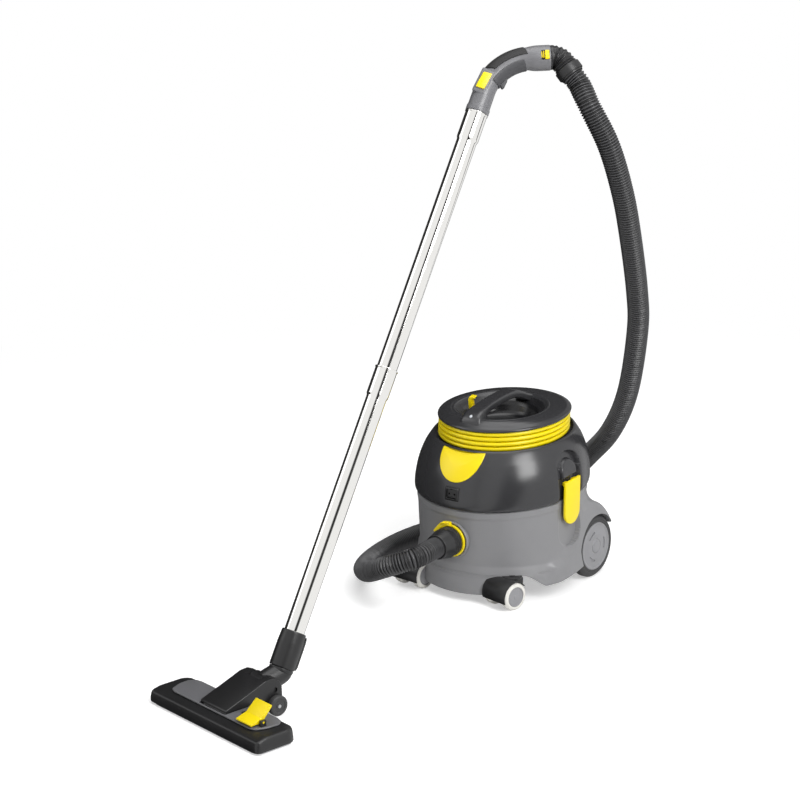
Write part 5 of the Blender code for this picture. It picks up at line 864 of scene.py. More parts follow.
recess += [
    (LATCH_Y + RECESS_HALF * math.cos(a), RECESS_TOP - 0.026 + 0.026 * math.sin(a))
    for a in np.linspace(0, math.pi, 25)
]
recess += [(LATCH_Y - RECESS_HALF, 0.14)]
REST_HALF = 0.0215
thumb_rest = [(LATCH_Y + REST_HALF, 0.2126)]
for angle in np.linspace(0, math.pi, 25):
    thumb_rest.append((LATCH_Y + REST_HALF * math.cos(angle), 0.2200 + REST_HALF * math.sin(angle)))
thumb_rest += [(LATCH_Y - REST_HALF, 0.2126)]
FRONT_OF_REST = [(0.2126, 0.1490), (0.2250, 0.1465), (0.2415, 0.1405)]
FLOOR_OF_RECESS = [
    (0.14, 0.1425), (0.1640, 0.1425), (0.2050, 0.1415), (0.2320, 0.1370), (0.2547, 0.1290), (0.28, 0.118)
]


def dome_radius(z):
    return np.interp(z, dome[::-1, 1], dome[::-1, 0])


def head_field(x, y, z):
    """Distance to the dome's outside, less the recess over each latch, whose thumb rest stays in."""
    radial = np.hypot(x, y) - dome_radius(z)
    floor_x = np.interp(z, *zip(*FLOOR_OF_RECESS))
    hollow = both(outline_distance(y, z, recess), floor_x - np.abs(x), 0.0010)
    rest = both(outline_distance(y, z, thumb_rest), np.abs(x) - np.interp(z, *zip(*FRONT_OF_REST)), 0.0030)
    return smin(-smin(-radial, hollow, 0.0045), rest, 0.0020)


def raked(obj):
    """The same shape with the head's slope and lean."""
    corners = np.empty(len(obj.data.vertices) * 3, np.float32)
    obj.data.vertices.foreach_get("co", corners)
    obj.data.vertices.foreach_set("co", rake(corners.reshape(-1, 3)).astype(np.float32).ravel())
    obj.data.update()
    return obj


around = np.interp(np.arange(400) / 400 * travel[-1], travel, spread)
heights = np.linspace(0.2725, 0.1743, 92)[:, None] + 0 * around[None]
outside = surface_radius(head_field, np.broadcast_to(around, heights.shape), heights, 0.105, 0.165)
inner_z = np.linspace(0.1743, 0.2605, 22)[:, None] + 0 * around[None]
behind = surface_radius(head_field, np.broadcast_to(around, inner_z.shape), inner_z, 0.105, 0.165) - 0.003
inside = np.minimum(behind, np.interp(inner_z, lining[:, 1], lining[:, 0]))
rings = []
for r, z in zip(outside, heights):
    ring_at(r, z)
for r, z in zip(inside, inner_z):
    ring_at(r, z)
for r, z in [(0.0645, 0.2605), (0.0645, 0.2640), (0.1195, 0.2640), (0.1212, 0.2660)]:
    ring_at(r, z)
head = skin(rings, loop=True)
knuckle = block((0.1360, LATCH_Y - 0.0090, 0.1930), (0.1434, LATCH_Y + 0.0090, 0.2200), 0.0020, 4)
boolean(head, together(knuckle, copy_of(knuckle, MIRROR)), "UNION")
BUTTON_REACH, BUTTON_MIDDLE, BUTTON_TOP = 0.0440, 0.2660, 0.2700


def button_outline(extra=0.0):
    """A D on its back: straight on top under the winding, round below."""
    reach = BUTTON_REACH + extra
    sweep = np.linspace(math.pi, 2 * math.pi, 49)
    corners = [(-reach, BUTTON_TOP + extra)] + [
        (reach * math.cos(a), BUTTON_MIDDLE + reach * math.sin(a)) for a in sweep
    ]
    return rounded(corners + [(reach, BUTTON_TOP + extra)], [0.0016] + [0] * 49 + [0.0016], closed=True)


nest = prism(button_outline(0.0004), -0.20, -0.1000, "Y")
opening = block((-0.0143, -0.1700, 0.1910), (0.0143, -0.1300, 0.2140), 0.0020)
bores = [moved(rod(0.0026, 0.02, -0.02, 24), lay_front(side * 0.1475, LATCH_Y, 0.2020)) for side in (1, -1)]
slots = [
    block((-0.0550, 0.1000, 0.1920 + 0.0076 * i), (0.0550, 0.1700, 0.1962 + 0.0076 * i), 0.0018)
    for i in range(5)
]
boolean(head, together(nest, opening, *bores, *slots))
fitted(raked(head), "head_dome", "head", head_abs, ["head_shell"], angle=28)

# ---- button, socket and latches -----------------------------------------------------------------
# The on/off button is a yellow D that follows the dome. Under it is a covered accessory socket, and on
# each side a yellow latch turns on a pin in the recess.


def pillow(outline, place, low, high, edge, inner=(0.85, 0.6, 0.35, 0.12)):
    """A plate with a rounded upper edge, laid on a surface by a function of (across, up, height)."""
    outline = np.array(outline, float)
    centre = outline.mean(axis=0)
    rings = [place(*(centre + f * (outline - centre)).T, low) for f in inner[::-1]]
    rings += [place(*outline.T, low), place(*outline.T, high - edge)]
    for a in np.linspace(0, math.pi / 2, 6)[1:]:
        rings.append(place(*inset(outline, edge * (1 - math.cos(a))).T, high - edge + edge * math.sin(a)))
    top = inset(outline, edge)
    rings += [place(*(centre + f * (top - centre)).T, high) for f in (0.97,) + inner]
    return skin(rings)


def on_dome(x, z, height):
    reach = dome_radius(z) + height
    return np.stack([x, -np.sqrt(reach**2 - x**2), z], axis=-1)


button = pillow(button_outline(), on_dome, -0.0016, 0.0012, 0.0012, (0.9, 0.8, 0.65, 0.5, 0.35, 0.2, 0.08))
fitted(raked(button), "power_button_plate", "power_button", yellow_abs, ["power_button"])
frame_block = block((-0.0140, -0.1560, 0.1912), (0.0140, -0.1420, 0.2138), 0.0030, 5)
boolean(frame_block, block((-0.0110, -0.1700, 0.1942), (0.0110, -0.1460, 0.2108), 0.0022, 4))
boolean(frame_block, block((-0.0030, -0.1700, 0.2086), (0.0030, -0.1500, 0.2120), 0.0008))
fitted(
    raked(bevelled(frame_block, 0.0004, 2)), "socket_frame_black", "head", black_abs, ["socket_frame"],
)
insert = block((-0.0107, -0.1545, 0.1945), (0.0107, -0.1463, 0.2105), 0.0022, 4)
for side in (-1, 1):
    pin_hole = rod(0.0018, 0.02, -0.004, 32)
    boolean(insert, moved(pin_hole, lay_front(side * 0.0057, -0.1530, 0.2025)))
boolean(insert, block((-0.0012, -0.1700, 0.1965), (0.0012, -0.1538, 0.1985), 0.0004))
fitted(raked(insert), "socket_insert_black", "head", black_nylon, ["socket_insert"])
TONGUE_HALF, TONGUE_Z = 0.0230, 0.1510
tongue = [(LATCH_Y + TONGUE_HALF, 0.2078), (LATCH_Y - TONGUE_HALF, 0.2078)]
for angle in np.linspace(math.pi, 2 * math.pi, 33):
    tongue.append((LATCH_Y + TONGUE_HALF * math.cos(angle), TONGUE_Z + TONGUE_HALF * math.sin(angle)))
tongue = rounded(tongue, [0.002, 0.002] + [0] * 33, closed=True)
latch = prism(tongue, 0.1508, 0.1558, "X", 0.0011, 4)
for side in (-1, 1):
    y = LATCH_Y + side * 0.0125
    ear = moved(rod(0.0046, 0.0022, -0.0022, 32), lay_front(0.1475, y, 0.2020))
    web = block((0.1475, y - 0.0022, 0.1974), (0.1520, y + 0.0022, 0.2066))
    boolean(boolean(latch, ear, "UNION"), web, "UNION")
pin = moved(rod(0.0022, 0.0130, -0.0130, 24), lay_front(0.1475, LATCH_Y, 0.2020))
catch = prism(
    [(0.1518, 0.1440), (0.1518, 0.1520), (0.1473, 0.1495), (0.1473, 0.1465)], LATCH_Y - 0.0150,
    LATCH_Y + 0.0150, "Y"
)
boolean(boolean(latch, pin, "UNION"), catch, "UNION")
other = copy_of(latch, MIRROR)
fitted(raked(latch), "latch_plate_right", "latch_right", yellow_abs, ["latch_right"])
fitted(raked(other), "latch_plate_left", "latch_left", yellow_abs, ["latch_left"])

# ---- mains cable --------------------------------------------------------------------------------
# The yellow rubber cable is wound round the drum in four layers of four turns. Each turn runs level and
# climbs to the next one at the back, and the plug lies on the head's shoulder.
# Rubber jacket: clean yellow, soft sheen.
cable_rubber = moulded("cable_rubber_yellow", "#f4de00", 0.30, 0.7, 0.06, 0.04, scuff="#d8c440")


def swept(path, radius, sides=20, start=None):
    """A round tube along a path. The radius is one value, or a function of (share along, angle) arrays."""
    path = np.array(path, float)
    along = np.gradient(path, axis=0)
    along /= np.linalg.norm(along, axis=1)[:, None]
    side = np.cross(along[0], (0, 0, 1) if start is None else start)
    rings, angles = [], np.arange(sides) * 2 * math.pi / sides
    travel_here = np.concatenate([[0], np.cumsum(np.linalg.norm(np.diff(path, axis=0), axis=1))])
    for i, (here, ahead) in enumerate(zip(path, along)):
        side = side - ahead * (side @ ahead)
        side /= np.linalg.norm(side)
        across = np.cross(ahead, side)
        r = radius(travel_here[i], angles) if callable(radius) else radius
        r = np.broadcast_to(r, angles.shape)
        rings.append(here + r[:, None] * (np.cos(angles)[:, None] * side + np.sin(angles)[:, None] * across))
    return skin(rings)


cable_line = []
for t in np.arange(-12, 3.7501, 1 / 64):
    layer, turn_in_layer = divmod(t + 12, 4)
    row, part = divmod(turn_in_layer, 1)
    climb = min(1.0, max(0.0, (part - 0.85) / 0.15))
    climb = climb * climb * (3 - 2 * climb)
    level = row + climb if row < 3 else 3.0
    level = level if layer % 2 else 3.0 - level
    radius = 0.0848 + (layer + 0.5) * 0.0080 + (0.0080 * climb if row == 3 else 0.0)
    angle = math.pi / 2 - 2 * math.pi * (t + 0.1)
    cable_line.append((radius * math.cos(angle), radius * math.sin(angle), 0.2725 + 0.0085 * level))
cable_line = rake(cable_line)
PLUG_AT = Vector((-0.0240, 0.1490, 0.2835))
last = Vector(cable_line[-1])
tail = [
    last, last + Vector((0.0120, 0.0122, 0.0004)), last + Vector((0.0240, 0.0260, -0.0004)),
    PLUG_AT + Vector((-0.0140, -0.0010, 0.0010)), PLUG_AT + Vector((-0.0060, 0, 0)),
    PLUG_AT + Vector((0.004, 0, 0))
]
cable_line = np.concatenate([cable_line, smooth_route(tail, 0.004)[1:]])
cable = swept(cable_line, 0.00375, 14)
fitted(
    cable, "mains_cable_wound", "head", cable_rubber, ["mains_cable", "cable_inner_layers"],
    angle=80
)
plug = [
    (0, 0.0006), (0.0054, 0.0006), (0.0056, 0.0024), (0.0050, 0.0030), (0.0050, 0.0042), (0.0059, 0.0048),
    (0.0060, 0.0066), (0.0053, 0.0072), (0.0053, 0.0084), (0.0064, 0.0090), (0.0068, 0.0120),
    (0.0090, 0.0160), (0.0150, 0.0210), (0.0165, 0.0260), (0.0165, 0.0400), (0.0155, 0.0410), (0, 0.0410),
]
plug = turned(
    rounded(plug, [0] + [0.0004] * 8 + [0.001, 0.002, 0.004, 0.004, 0.004, 0.0006, 0.0006, 0], steps=3), 64
)
for side in (-1, 1):
    contact = turned(
        rounded([(0, 0.0400), (0.0023, 0.0400), (0.0023, 0.0590), (0, 0.0590)], [0, 0, 0.0010, 0]), 24
    )
    boolean(plug, moved(contact, Matrix.Translation((0, side * 0.0095, 0))), "UNION")
plug = moved(plug, Matrix.Translation(PLUG_AT) @ lay_out())
plug = fitted(plug, "mains_plug_moulded", "head", black_abs, ["mains_plug"])
TUB + Vector(cable_line[0])

# ---- cap and bar --------------------------------------------------------------------------------
# The cap is an anthracite disc over the winding with a deep bowl, and a bar to carry the cleaner by
# crosses the bowl from front to back. A yellow hook for the cable turns on a post in the bowl.
CAP = [
    (0.0, 0.2755), (0.0560, 0.2755), (0.0640, 0.2830), (0.0668, 0.2960), (0.0668, 0.3027), (0.1176, 0.3027),
    (0.1182, 0.3040), (0.1179, 0.3058), (0.1160, 0.3080), (0.1100, 0.3117), (0.1010, 0.3152),
    (0.0930, 0.3174), (0.0884, 0.3184), (0.0872, 0.3178), (0.0862, 0.3180), (0.0846, 0.3188),
    (0.0822, 0.3182), (0.0806, 0.3166), (0.0770, 0.3130), (0.0710, 0.3080), (0.0650, 0.3020),
    (0.0618, 0.2960), (0.0592, 0.2860), (0.0560, 0.2812), (0.0510, 0.2790), (0.0, 0.2790),
]
CAP_CORNERS = [
    0, 0.003, 0.004, 0.004, 0.0005, 0.0006
] + [0.003] * 6 + [0.0008, 0.0004, 0.0004] + [0.0015] * 3 + [0.006] * 8
cap_line = rounded(CAP, CAP_CORNERS[: len(CAP) - 1] + [0], steps=3)
shift = [-0.012 * min(1.0, max(0.0, (0.1110 - r) / 0.0220)) for r, z in cap_line]
cap = turned(cap_line, 200, centre=shift)


def eased(obj):
    """The cap's and the bar's tops sink a little towards the back."""
    for corner in obj.data.vertices:
        x, y, z = corner.co
        corner.co.z -= 0.030 * max(0.0, y + 0.10) * min(1.0, max(0.0, (z - 0.3045) / 0.012))
    return obj


# The same ABS inside the bowl, given a darker grey as painted shade for the bowl's depth.
bowl_shade_abs = moulded("anthracite_abs_bowl", "#1e1e20", 0.26, 1.6, 0.10, 0.05, scuff="#48484a")
cap = fitted(raked(eased(cap)), "top_cap_dish", "head", head_abs, ["top_cap"], angle=40)
# Faces inside the bowl take the darker grey: painted shade in the recess.
cap.data.materials.append(bowl_shade_abs)
for face in cap.data.polygons:
    middle = face.center - TUB
    inside = math.hypot(middle.x, middle.y + 0.003) < 0.0800 and face.normal.z > -0.2 and middle.z < 0.3165
    face.material_index = int(inside)
BAR = [
    (-0.1105, 0.3080, -0.0835, 0.3050, 0.0230), (-0.1085, 0.3180, -0.0820, 0.3110, 0.0208),
    (-0.1015, 0.3262, -0.0780, 0.3165, 0.0184), (-0.0890, 0.3315, -0.0700, 0.3203, 0.0164),
    (-0.0650, 0.3360, -0.0600, 0.3220, 0.0150), (-0.0300, 0.3380, -0.0280, 0.3238, 0.0145),
    (0.0000, 0.3378, 0.0000, 0.3238, 0.0145), (0.0200, 0.3348, 0.0170, 0.3212, 0.0146),
    (0.0400, 0.3272, 0.0340, 0.3152, 0.0148), (0.0560, 0.3190, 0.0480, 0.3085, 0.0150),
    (0.0740, 0.3120, 0.0620, 0.3020, 0.0152),
]
stations = np.array(BAR)


def through(values, at):
    """A smooth curve through evenly spaced values."""
    place = np.clip(at * (len(values) - 1), 0, len(values) - 1 - 1e-9)
    i = place.astype(int)
    t = place - i
    ends = np.concatenate([[2 * values[0] - values[1]], values, [2 * values[-1] - values[-2]]])
    a, b, c, d = ends[i], ends[i + 1], ends[i + 2], ends[i + 3]
    return 0.5 * (2 * b + (c - a) * t + (2 * a - 5 * b + 4 * c - d) * t**2 + (3 * b - a - 3 * c + d) * t**3)


sections = []
turn = np.linspace(0, 2 * math.pi, 49)[:-1]
flare = 0.42
for at in np.linspace(0, 1, 61):
    top_y, top_z, low_y, low_z, wide = (float(through(stations[:, i], np.array([at]))[0]) for i in range(5))
    across = np.sign(np.cos(turn)) * np.abs(np.cos(turn)) ** flare * wide
    share = 0.5 + 0.5 * np.sign(np.sin(turn)) * np.abs(np.sin(turn)) ** flare
    sections.append(
        np.stack([across, low_y + (top_y - low_y) * share, low_z + (top_z - low_z) * share], axis=-1)
    )
bar = skin(sections)
lens_at = Matrix.Translation((0.0, -0.1040, 0.3238)) @ Matrix.Rotation(math.radians(55), 4, "X")
boolean(bar, moved(rod(0.0033, 0.01, -0.0030, 48), lens_at))
fitted(raked(bar), "carry_bar", "head", head_abs, ["carry_handle"], angle=40)
# A clear polycarbonate window with an unlit lamp behind it.
clear_lens = moulded("lens_polycarbonate", "#c9ccd2", 0.10, 3.0, 0.02, 0.02, coat=0.6)
light = [(0, 0.0014), (0.0022, 0.0010), (0.0030, 0.0), (0.0030, -0.0027), (0, -0.0027)]
light = turned(rounded(light, [0, 0.002, 0.0006, 0, 0]), 48)
fitted(raked(moved(light, lens_at)), "status_window", "head", clear_lens, ["status_lens"])
post = turned(rounded([(0, 0.0300), (0.0062, 0.0300), (0.0062, 0.0004), (0, 0.0004)], [0, 0.0014, 0, 0]), 48)
arm = block((-0.0062, -0.0055, 0.0240), (0.0165, 0.0055, 0.0300), 0.0012)
side_view = [
    (0.0100, 0.0250), (0.0106, 0.0385), (0.0100, 0.0440), (0.0050, 0.0448), (0.0047, 0.0474),
    (0.0150, 0.0484), (0.0174, 0.0430), (0.0172, 0.0250),
]
side_view = rounded(side_view, [0.001, 0.006, 0.003, 0.0008, 0.0008, 0.003, 0.008, 0.0014], closed=True)
lever = prism(side_view, -0.0064, 0.0064, "Y", 0.0007)
hook = boolean(boolean(post, arm, "UNION"), lever, "UNION")
foot = Vector(rake((-0.0440, -0.0120, 0.2790)))
upright = Vector((0.0, 1.0, RAKE)).normalized().cross(Vector((-1.0, 0.0, 0.0)))
stand = Matrix.Translation(foot) @ Vector((0, 0, 1)).rotation_difference(upright).to_matrix().to_4x4()
moved(hook, stand @ Matrix.Rotation(math.radians(-165), 4, "Z"))
fitted(hook, "cable_hook_yellow", "cable_hook", yellow_abs, ["cable_hook"])

# ---- wand ---------------------------------------------------------------------------------------
# Two chromed steel tubes. Each has a widened top end with a rolled rim, and the next piece is pushed
# into it.
NECK_RIM = Vector((0.0386, -0.6320, 0.1079))
TUBE_SHOWN = 0.4420


def plated(name, colour, scale, detail, least, most):
    """Plated steel, whose gloss varies between two roughness values with fine haze."""
    made = bpy.data.materials.new(name)
    made.use_nodes = True
    tree = made.node_tree
    shader = tree.nodes["Principled BSDF"]
    place = node(tree, "ShaderNodeTexCoord").outputs["Object"]
    haze = node(tree, "ShaderNodeTexNoise", {"Vector": place, "Scale": scale, "Detail": detail})
    gloss = node(tree, "ShaderNodeMapRange", {0: haze.outputs["Fac"], 3: least, 4: most})
    tree.links.new(gloss.outputs[0], shader.inputs["Roughness"])
    shader.inputs["Base Color"].default_value = linear(colour)
    shader.inputs["Metallic"].default_value = 1.0
    return made


# Bright chrome, wiped often, with a little haze.
chrome = plated("chromed_steel", "#f2f1ee", 60.0, 6.0, 0.05, 0.13)


def along_wand(at):
    """Stands a shape that lies along Z on the wand's line, at a distance from the neck's rim."""
    side = Vector((0, 0, 1)).cross(WAND).normalized()
    frame = Matrix((side, WAND.cross(side), WAND)).transposed().to_4x4()
    frame.translation = NECK_RIM + WAND * at
    return frame


TUBE = [
    (0.01655, -0.0420), (0.01655, 0.3917), (0.0181, 0.3957), (0.0181, 0.4385), (0.0191, 0.4395),
    (0.0191, 0.4411), (0.0181, 0.4417), (0.0169, 0.4417), (0.0169, 0.3962), (0.01535, 0.3922),
    (0.01535, -0.0420),
]
TUBE_CORNERS = [0.0003, 0.006, 0.006, 0.0008, 0.0006, 0.0006, 0.0004, 0.0004, 0.004, 0.004, 0.0003]
for at, name in ((0.0, "lower"), (TUBE_SHOWN, "upper")):
    tube = turned_ring(TUBE, TUBE_CORNERS, 96, 5)
    fitted(
        moved(tube, along_wand(at)), "chrome_tube_" + name, "base", chrome, ["wand_tube_" + name],
        angle=50
    )

# ---- handle -------------------------------------------------------------------------------------
# A bent tube of light grey ABS with soft grips above and below, an air slider in front and a lock
# button at the knuckle, where the hose's black elbow turns.
HANDLE = Matrix(
    (
        (0.052104, 0.828083, -0.558179, 0.08466), (0.513126, 0.457311, 0.726339, -0.178397),
        (0.85673, -0.324262, -0.401083, 0.86525), (0, 0, 0, 1)
    )
)
BEND, BEND_ANGLE, CONE, KNUCKLE = 0.0850, math.radians(68), 0.0350, 0.0320
GRIP, KNUCKLE_RADIUS = 0.0178, 0.0208
grip_abs = moulded("handle_abs_light_grey", "#737376", 0.34, 1.4, 0.14)
# Soft thermoplastic rubber, black and matt.
soft_grip = moulded("soft_grip_black", "#1d1d1e", 0.60, 0.8, 0.30, 0.05, scuff="#4c4c4c")
# The lower pad is a shade paler.
soft_lower = moulded("soft_grip_dark_grey", "#47474a", 0.50, 0.8, 0.24, 0.05, scuff="#707070")
heading = Vector((math.cos(BEND_ANGLE), math.sin(BEND_ANGLE), 0))
bend_middle = Vector((CONE, BEND, 0))


def bend_point(angle, reach=0.0):
    """A point of the bend's middle line, or off it on the bend's outer side."""
    return bend_middle + Vector((math.sin(angle), -math.cos(angle), 0)) * (BEND + reach)


handle_line = [Vector((x, 0, 0)) for x in np.linspace(0, CONE, 18)[:-1]]
handle_line += [bend_point(a) for a in np.linspace(0, BEND_ANGLE, 49)]
bend_end = handle_line[-1]
handle_line += [bend_end + heading * KNUCKLE * i / 16 for i in range(1, 17)]
run = CONE + BEND * BEND_ANGLE
PROFILE = [
    (0.0, 0.0190), (0.0080, 0.0189), (0.0120, 0.0184), (0.0300, 0.0183), (0.0480, 0.0180),
    (run - 0.0180, GRIP), (run - 0.0060, 0.0186), (run + 0.0030, 0.0202), (run + 0.0100, KNUCKLE_RADIUS),
    (run + KNUCKLE - 0.0020, KNUCKLE_RADIUS), (run + KNUCKLE, 0.0202),
]


def shell_radius(travelled, angles):
    return np.interp(travelled, *zip(*PROFILE)) + 0 * angles


shell = swept(handle_line, shell_radius, 72, start=(0, 1, 0))
step = turned(
    rounded([(0, 0.0090), (0.0194, 0.0090), (0.0194, 0.0003), (0, 0.0003)], [0, 0.0010, 0.0010, 0]), 72
)
nose = rod(0.0163, 0.0010, -0.0420, 72)
lay = Matrix.Rotation(math.pi / 2, 4, "Y")
boolean(boolean(shell, moved(step, lay), "UNION"), moved(nose, lay), "UNION")
to_end = Matrix.Translation(handle_line[-1]) @ Matrix.Rotation(BEND_ANGLE, 4, "Z") @ lay
tilt = Matrix.Translation((0.0490, -0.0055, 0.0)) @ Matrix.Rotation(math.radians(7), 4, "Z")
boolean(shell, moved(block((-0.0215, -0.0112, -0.0188), (0.0215, 0.0112, -0.0080), 0.0034, 5), tilt), "UNION")
bore = swept(
    [Vector((-0.06, 0, 0))] + handle_line + [handle_line[-1] + heading * 0.02], 0.0135, 32, start=(0, 1, 0)
)
boolean(shell, bore)
boolean(shell, moved(rod(0.0168, 0.02, -0.0140, 64), to_end))
to_side = Matrix.Translation(handle_line[-1] - heading * 0.0140) @ Matrix.Rotation(BEND_ANGLE, 4, "Z")
boolean(shell, moved(block((-0.0018, -0.0078, -0.0300), (0.0119, 0.0078, -0.0152), 0.0014), to_side))
fitted(moved(shell, HANDLE), "handle_tube", "base", grip_abs, ["handle_shell"], angle=40)
slide = rounded(
    [(-0.0145, -0.0078), (0.0130, -0.0066), (0.0158, 0.0078), (-0.0125, 0.0066)], 0.0016, closed=True
)
slide = prism(slide, -0.0222, -0.0191, "Z", 0.0009)
fitted(moved(slide, HANDLE @ tilt), "air_slider", "regulator", yellow_abs, ["regulator_slide"])


def on_knuckle(along, around_it, height):
    """A mapping onto the knuckle's front: (along the handle, arc length round it, height)."""
    swing, reach = around_it / KNUCKLE_RADIUS, KNUCKLE_RADIUS + height
    return np.stack([along, reach * np.sin(swing), -reach * np.cos(swing)], axis=-1)


def plate_outline(low, high, half_width, radius):
    corners = [(low, -half_width), (high, -half_width), (high, half_width), (low, half_width)]
    return dense(rounded(corners, radius, closed=True) + [(low, -half_width + radius)], 0.0012)[:-1]


press = pillow(plate_outline(0.0045, 0.0115, 0.0074, 0.0014), on_knuckle, -0.0017, 0.0016, 0.0009)
ridges = [
    pillow(
        plate_outline(x, x + 0.0014, 0.0060 - 0.0008 * i, 0.0006), on_knuckle, -0.0017, 0.0009, 0.0005
    ) for i,
    x in enumerate((0.0016, -0.0014))
]
fitted(
    moved(together(press, *ridges), HANDLE @ to_side), "lock_button_yellow", "lock_button", yellow_abs,
    ["lock_button"]
)


def on_bend(inner=False):
    """A mapping onto the bend's outside: (arc length along it, arc length round it, height)."""
    away = math.pi if inner else 0.0

    def place(along, around_it, height):
        angle, swing = along / BEND, around_it / GRIP + away
        out = np.stack([np.sin(angle), -np.cos(angle), 0 * angle], axis=-1)
        reach = GRIP + height
        middle = np.array([CONE, BEND, 0.0]) + out * BEND
        return middle + (
            reach * np.cos(swing)
        )[:, None] * out + (reach * np.sin(swing))[:, None] * np.array([0, 0, -1.0])

    return place


def pad_outline(low, high, half_angle, low_slant, high_slant):
    """The outline of a grip pad on the bend, in arc lengths, anticlockwise."""
    rows = np.linspace(-1, 1, 21)
    span = math.radians(half_angle) * GRIP
    low_side = [(BEND * math.radians(low + low_slant * abs(f)), span * f) for f in rows[::-1]]
    high_side = [(BEND * math.radians(high + high_slant * abs(f)), span * f) for f in rows]
    points = low_side + dense([low_side[-1], high_side[0]], 0.002)[1:-1] + high_side
    return points + dense([high_side[-1], low_side[0]], 0.002)[1:-1]


top_pad = pillow(
    pad_outline(19, 61, 80, 7, 4), on_bend(), 0.0002, 0.0021, 0.0014, (0.9, 0.75, 0.6, 0.45, 0.3, 0.15, 0.05)
)
fitted(moved(top_pad, HANDLE), "soft_grip_top", "base", soft_grip, ["grip_top"], angle=50)
low_pad = pillow(
    pad_outline(13, 62, 76, 2, -2), on_bend(True), 0.0002, 0.0021, 0.0014,
    (0.9, 0.75, 0.6, 0.45, 0.3, 0.15, 0.05)
)
spur = rounded(
    [
        (0.0640, 0.0180), (0.0560, 0.0185), (0.0500, 0.0260), (0.0540, 0.0285), (0.0600, 0.0290),
        (0.0680, 0.0300), (0.0740, 0.0260),
    ],
    [0, 0.003, 0.0015, 0.0015, 0.006, 0.01, 0], closed=True
)
spur = prism(spur, -0.0055, 0.0055, "Z", 0.0014)
boolean(low_pad, spur, "UNION")
fitted(moved(low_pad, HANDLE), "soft_grip_lower", "base", soft_lower, ["grip_lower"], angle=50)
ELBOW_R, ELBOW_TURN, ELBOW_SLEEVE = 0.0220, math.radians(57), 0.0260
left = Vector((-heading.y, heading.x, 0))
first = handle_line[-1] + heading * 0.0003
elbow_middle = first + heading * 0.0020 + left * ELBOW_R
elbow_line = [first, first + heading * 0.0010]
for a in np.linspace(0, ELBOW_TURN, 25):
    elbow_line.append(elbow_middle - left * ELBOW_R * math.cos(a) + heading * ELBOW_R * math.sin(a))
out = heading * math.cos(ELBOW_TURN) + left * math.sin(ELBOW_TURN)
elbow_line += [elbow_line[-1] + out * ELBOW_SLEEVE * i / 12 for i in range(1, 13)]
elbow_run = 0.0020 + ELBOW_R * ELBOW_TURN + ELBOW_SLEEVE
STEPS = [
    (0, 0.0194), (0.0010, 0.0200), (0.012, 0.0200), (elbow_run - 0.0120, 0.0200),
    (elbow_run - 0.0010, 0.0200), (elbow_run, 0.0194),
]
elbow_line = [Vector(p) for p in smooth_route(elbow_line, 0.0007)]


def elbow_radius(travelled, angles):
    """Rings like the hose's own between a plain band at each end."""
    band = np.interp(travelled, [0.004, 0.006, elbow_run - 0.019, elbow_run - 0.017], [0, 1, 1, 0])
    return np.interp(travelled, *zip(*STEPS)) - band * 0.0011 * (
        1 + np.cos(2 * math.pi * travelled / HOSE_PITCH)
    ) + 0 * angles


elbow = swept(elbow_line, elbow_radius, 72, start=(0, 1, 0))
neck_piece = rod(0.0165, 0.0040, -0.0135, 64)
boolean(elbow, moved(neck_piece, to_end), "UNION")
boolean(
    elbow,
    swept([first - heading * 0.03] + elbow_line + [elbow_line[-1] + out * 0.02], 0.0135, 32, start=(0, 1, 0))
)
to_hose = Matrix.Translation(elbow_line[-1]) @ Matrix.Rotation(BEND_ANGLE + ELBOW_TURN, 4, "Z") @ lay
boolean(elbow, moved(rod(0.0193, 0.02, -0.0163, 64), to_hose))
fitted(moved(elbow, HANDLE), "hose_elbow", "base", black_abs, ["handle_elbow"], angle=40)
ring = [
    (0.0209, -0.0170), (0.0216, -0.0170), (0.0222, -0.0160), (0.0222, -0.0040), (0.0216, -0.0030),
    (0.0209, -0.0030),
]
ring = turned_ring(ring, [0.0003, 0.0008, 0.0008, 0.0008, 0.0008, 0.0003], 96)
fitted(
    moved(ring, HANDLE @ to_hose), "swivel_ring_black", "swivel_ring", black_nylon, ["swivel_ring"],
)

# ---- floor tool ---------------------------------------------------------------------------------
# The base is one black ABS moulding with a slanting front band. A grey plate is let into its top, and
# posts through the plate hold the pedal.
HOOD_HALF, HOOD_PIVOT, ELBOW_PIVOT = 0.0330, Vector((0.0, -0.004, 0.0195)), Vector((0.0, 0.0800, 0.0400))
TOOL = Matrix.Translation((0.0095, -0.7790, 0.0)) @ Matrix.Rotation(math.radians(-12.8), 4, "Z")
PEDAL = Vector((0.0850, -0.0010, 0.0345))
# Near-black ABS with a fine etch.
tool_abs = moulded("tool_abs_black", "#1d1d1e", 0.36, 1.1, 0.16, 0.06, scuff="#6d6d6d")
# The plate let into the base: mid grey ABS, a little glossier.
plate_abs = moulded("tool_plate_grey", "#6c6c6f", 0.32, 1.4, 0.12)


def across_tool(radius, half_length, pivot, steps=48):
    """A round bar across the tool, centred on a pivot."""
    return moved(rod(radius, half_length, -half_length, steps), Matrix.Translation(pivot) @ lay_out())


half_width = 0.1425
corners = [(half_width, -0.0390), (half_width, 0.0390), (-half_width, 0.0390), (-half_width, -0.0390)]
plan = rounded(corners, [0.0085, 0.0190, 0.0190, 0.0085], closed=True, steps=10)
plan = dense(plan + [plan[0]], 0.004)[:-1]
rings = []


def tool_ring(distance, z=None, drop=0.0, scale=1.0):
    """A ring of the base's outline, drawn in, at a height or at a drop below the sloping top."""
    points = inset(plan, distance) * scale
    front = np.clip((-0.0170 - points[:, 1]) / 0.0220, 0, 1)
    top = 0.0250 - 0.0048 * front**1.2
    height = top - drop if z is None else z
    rings.append(np.column_stack([points, np.broadcast_to(height, len(points))]))


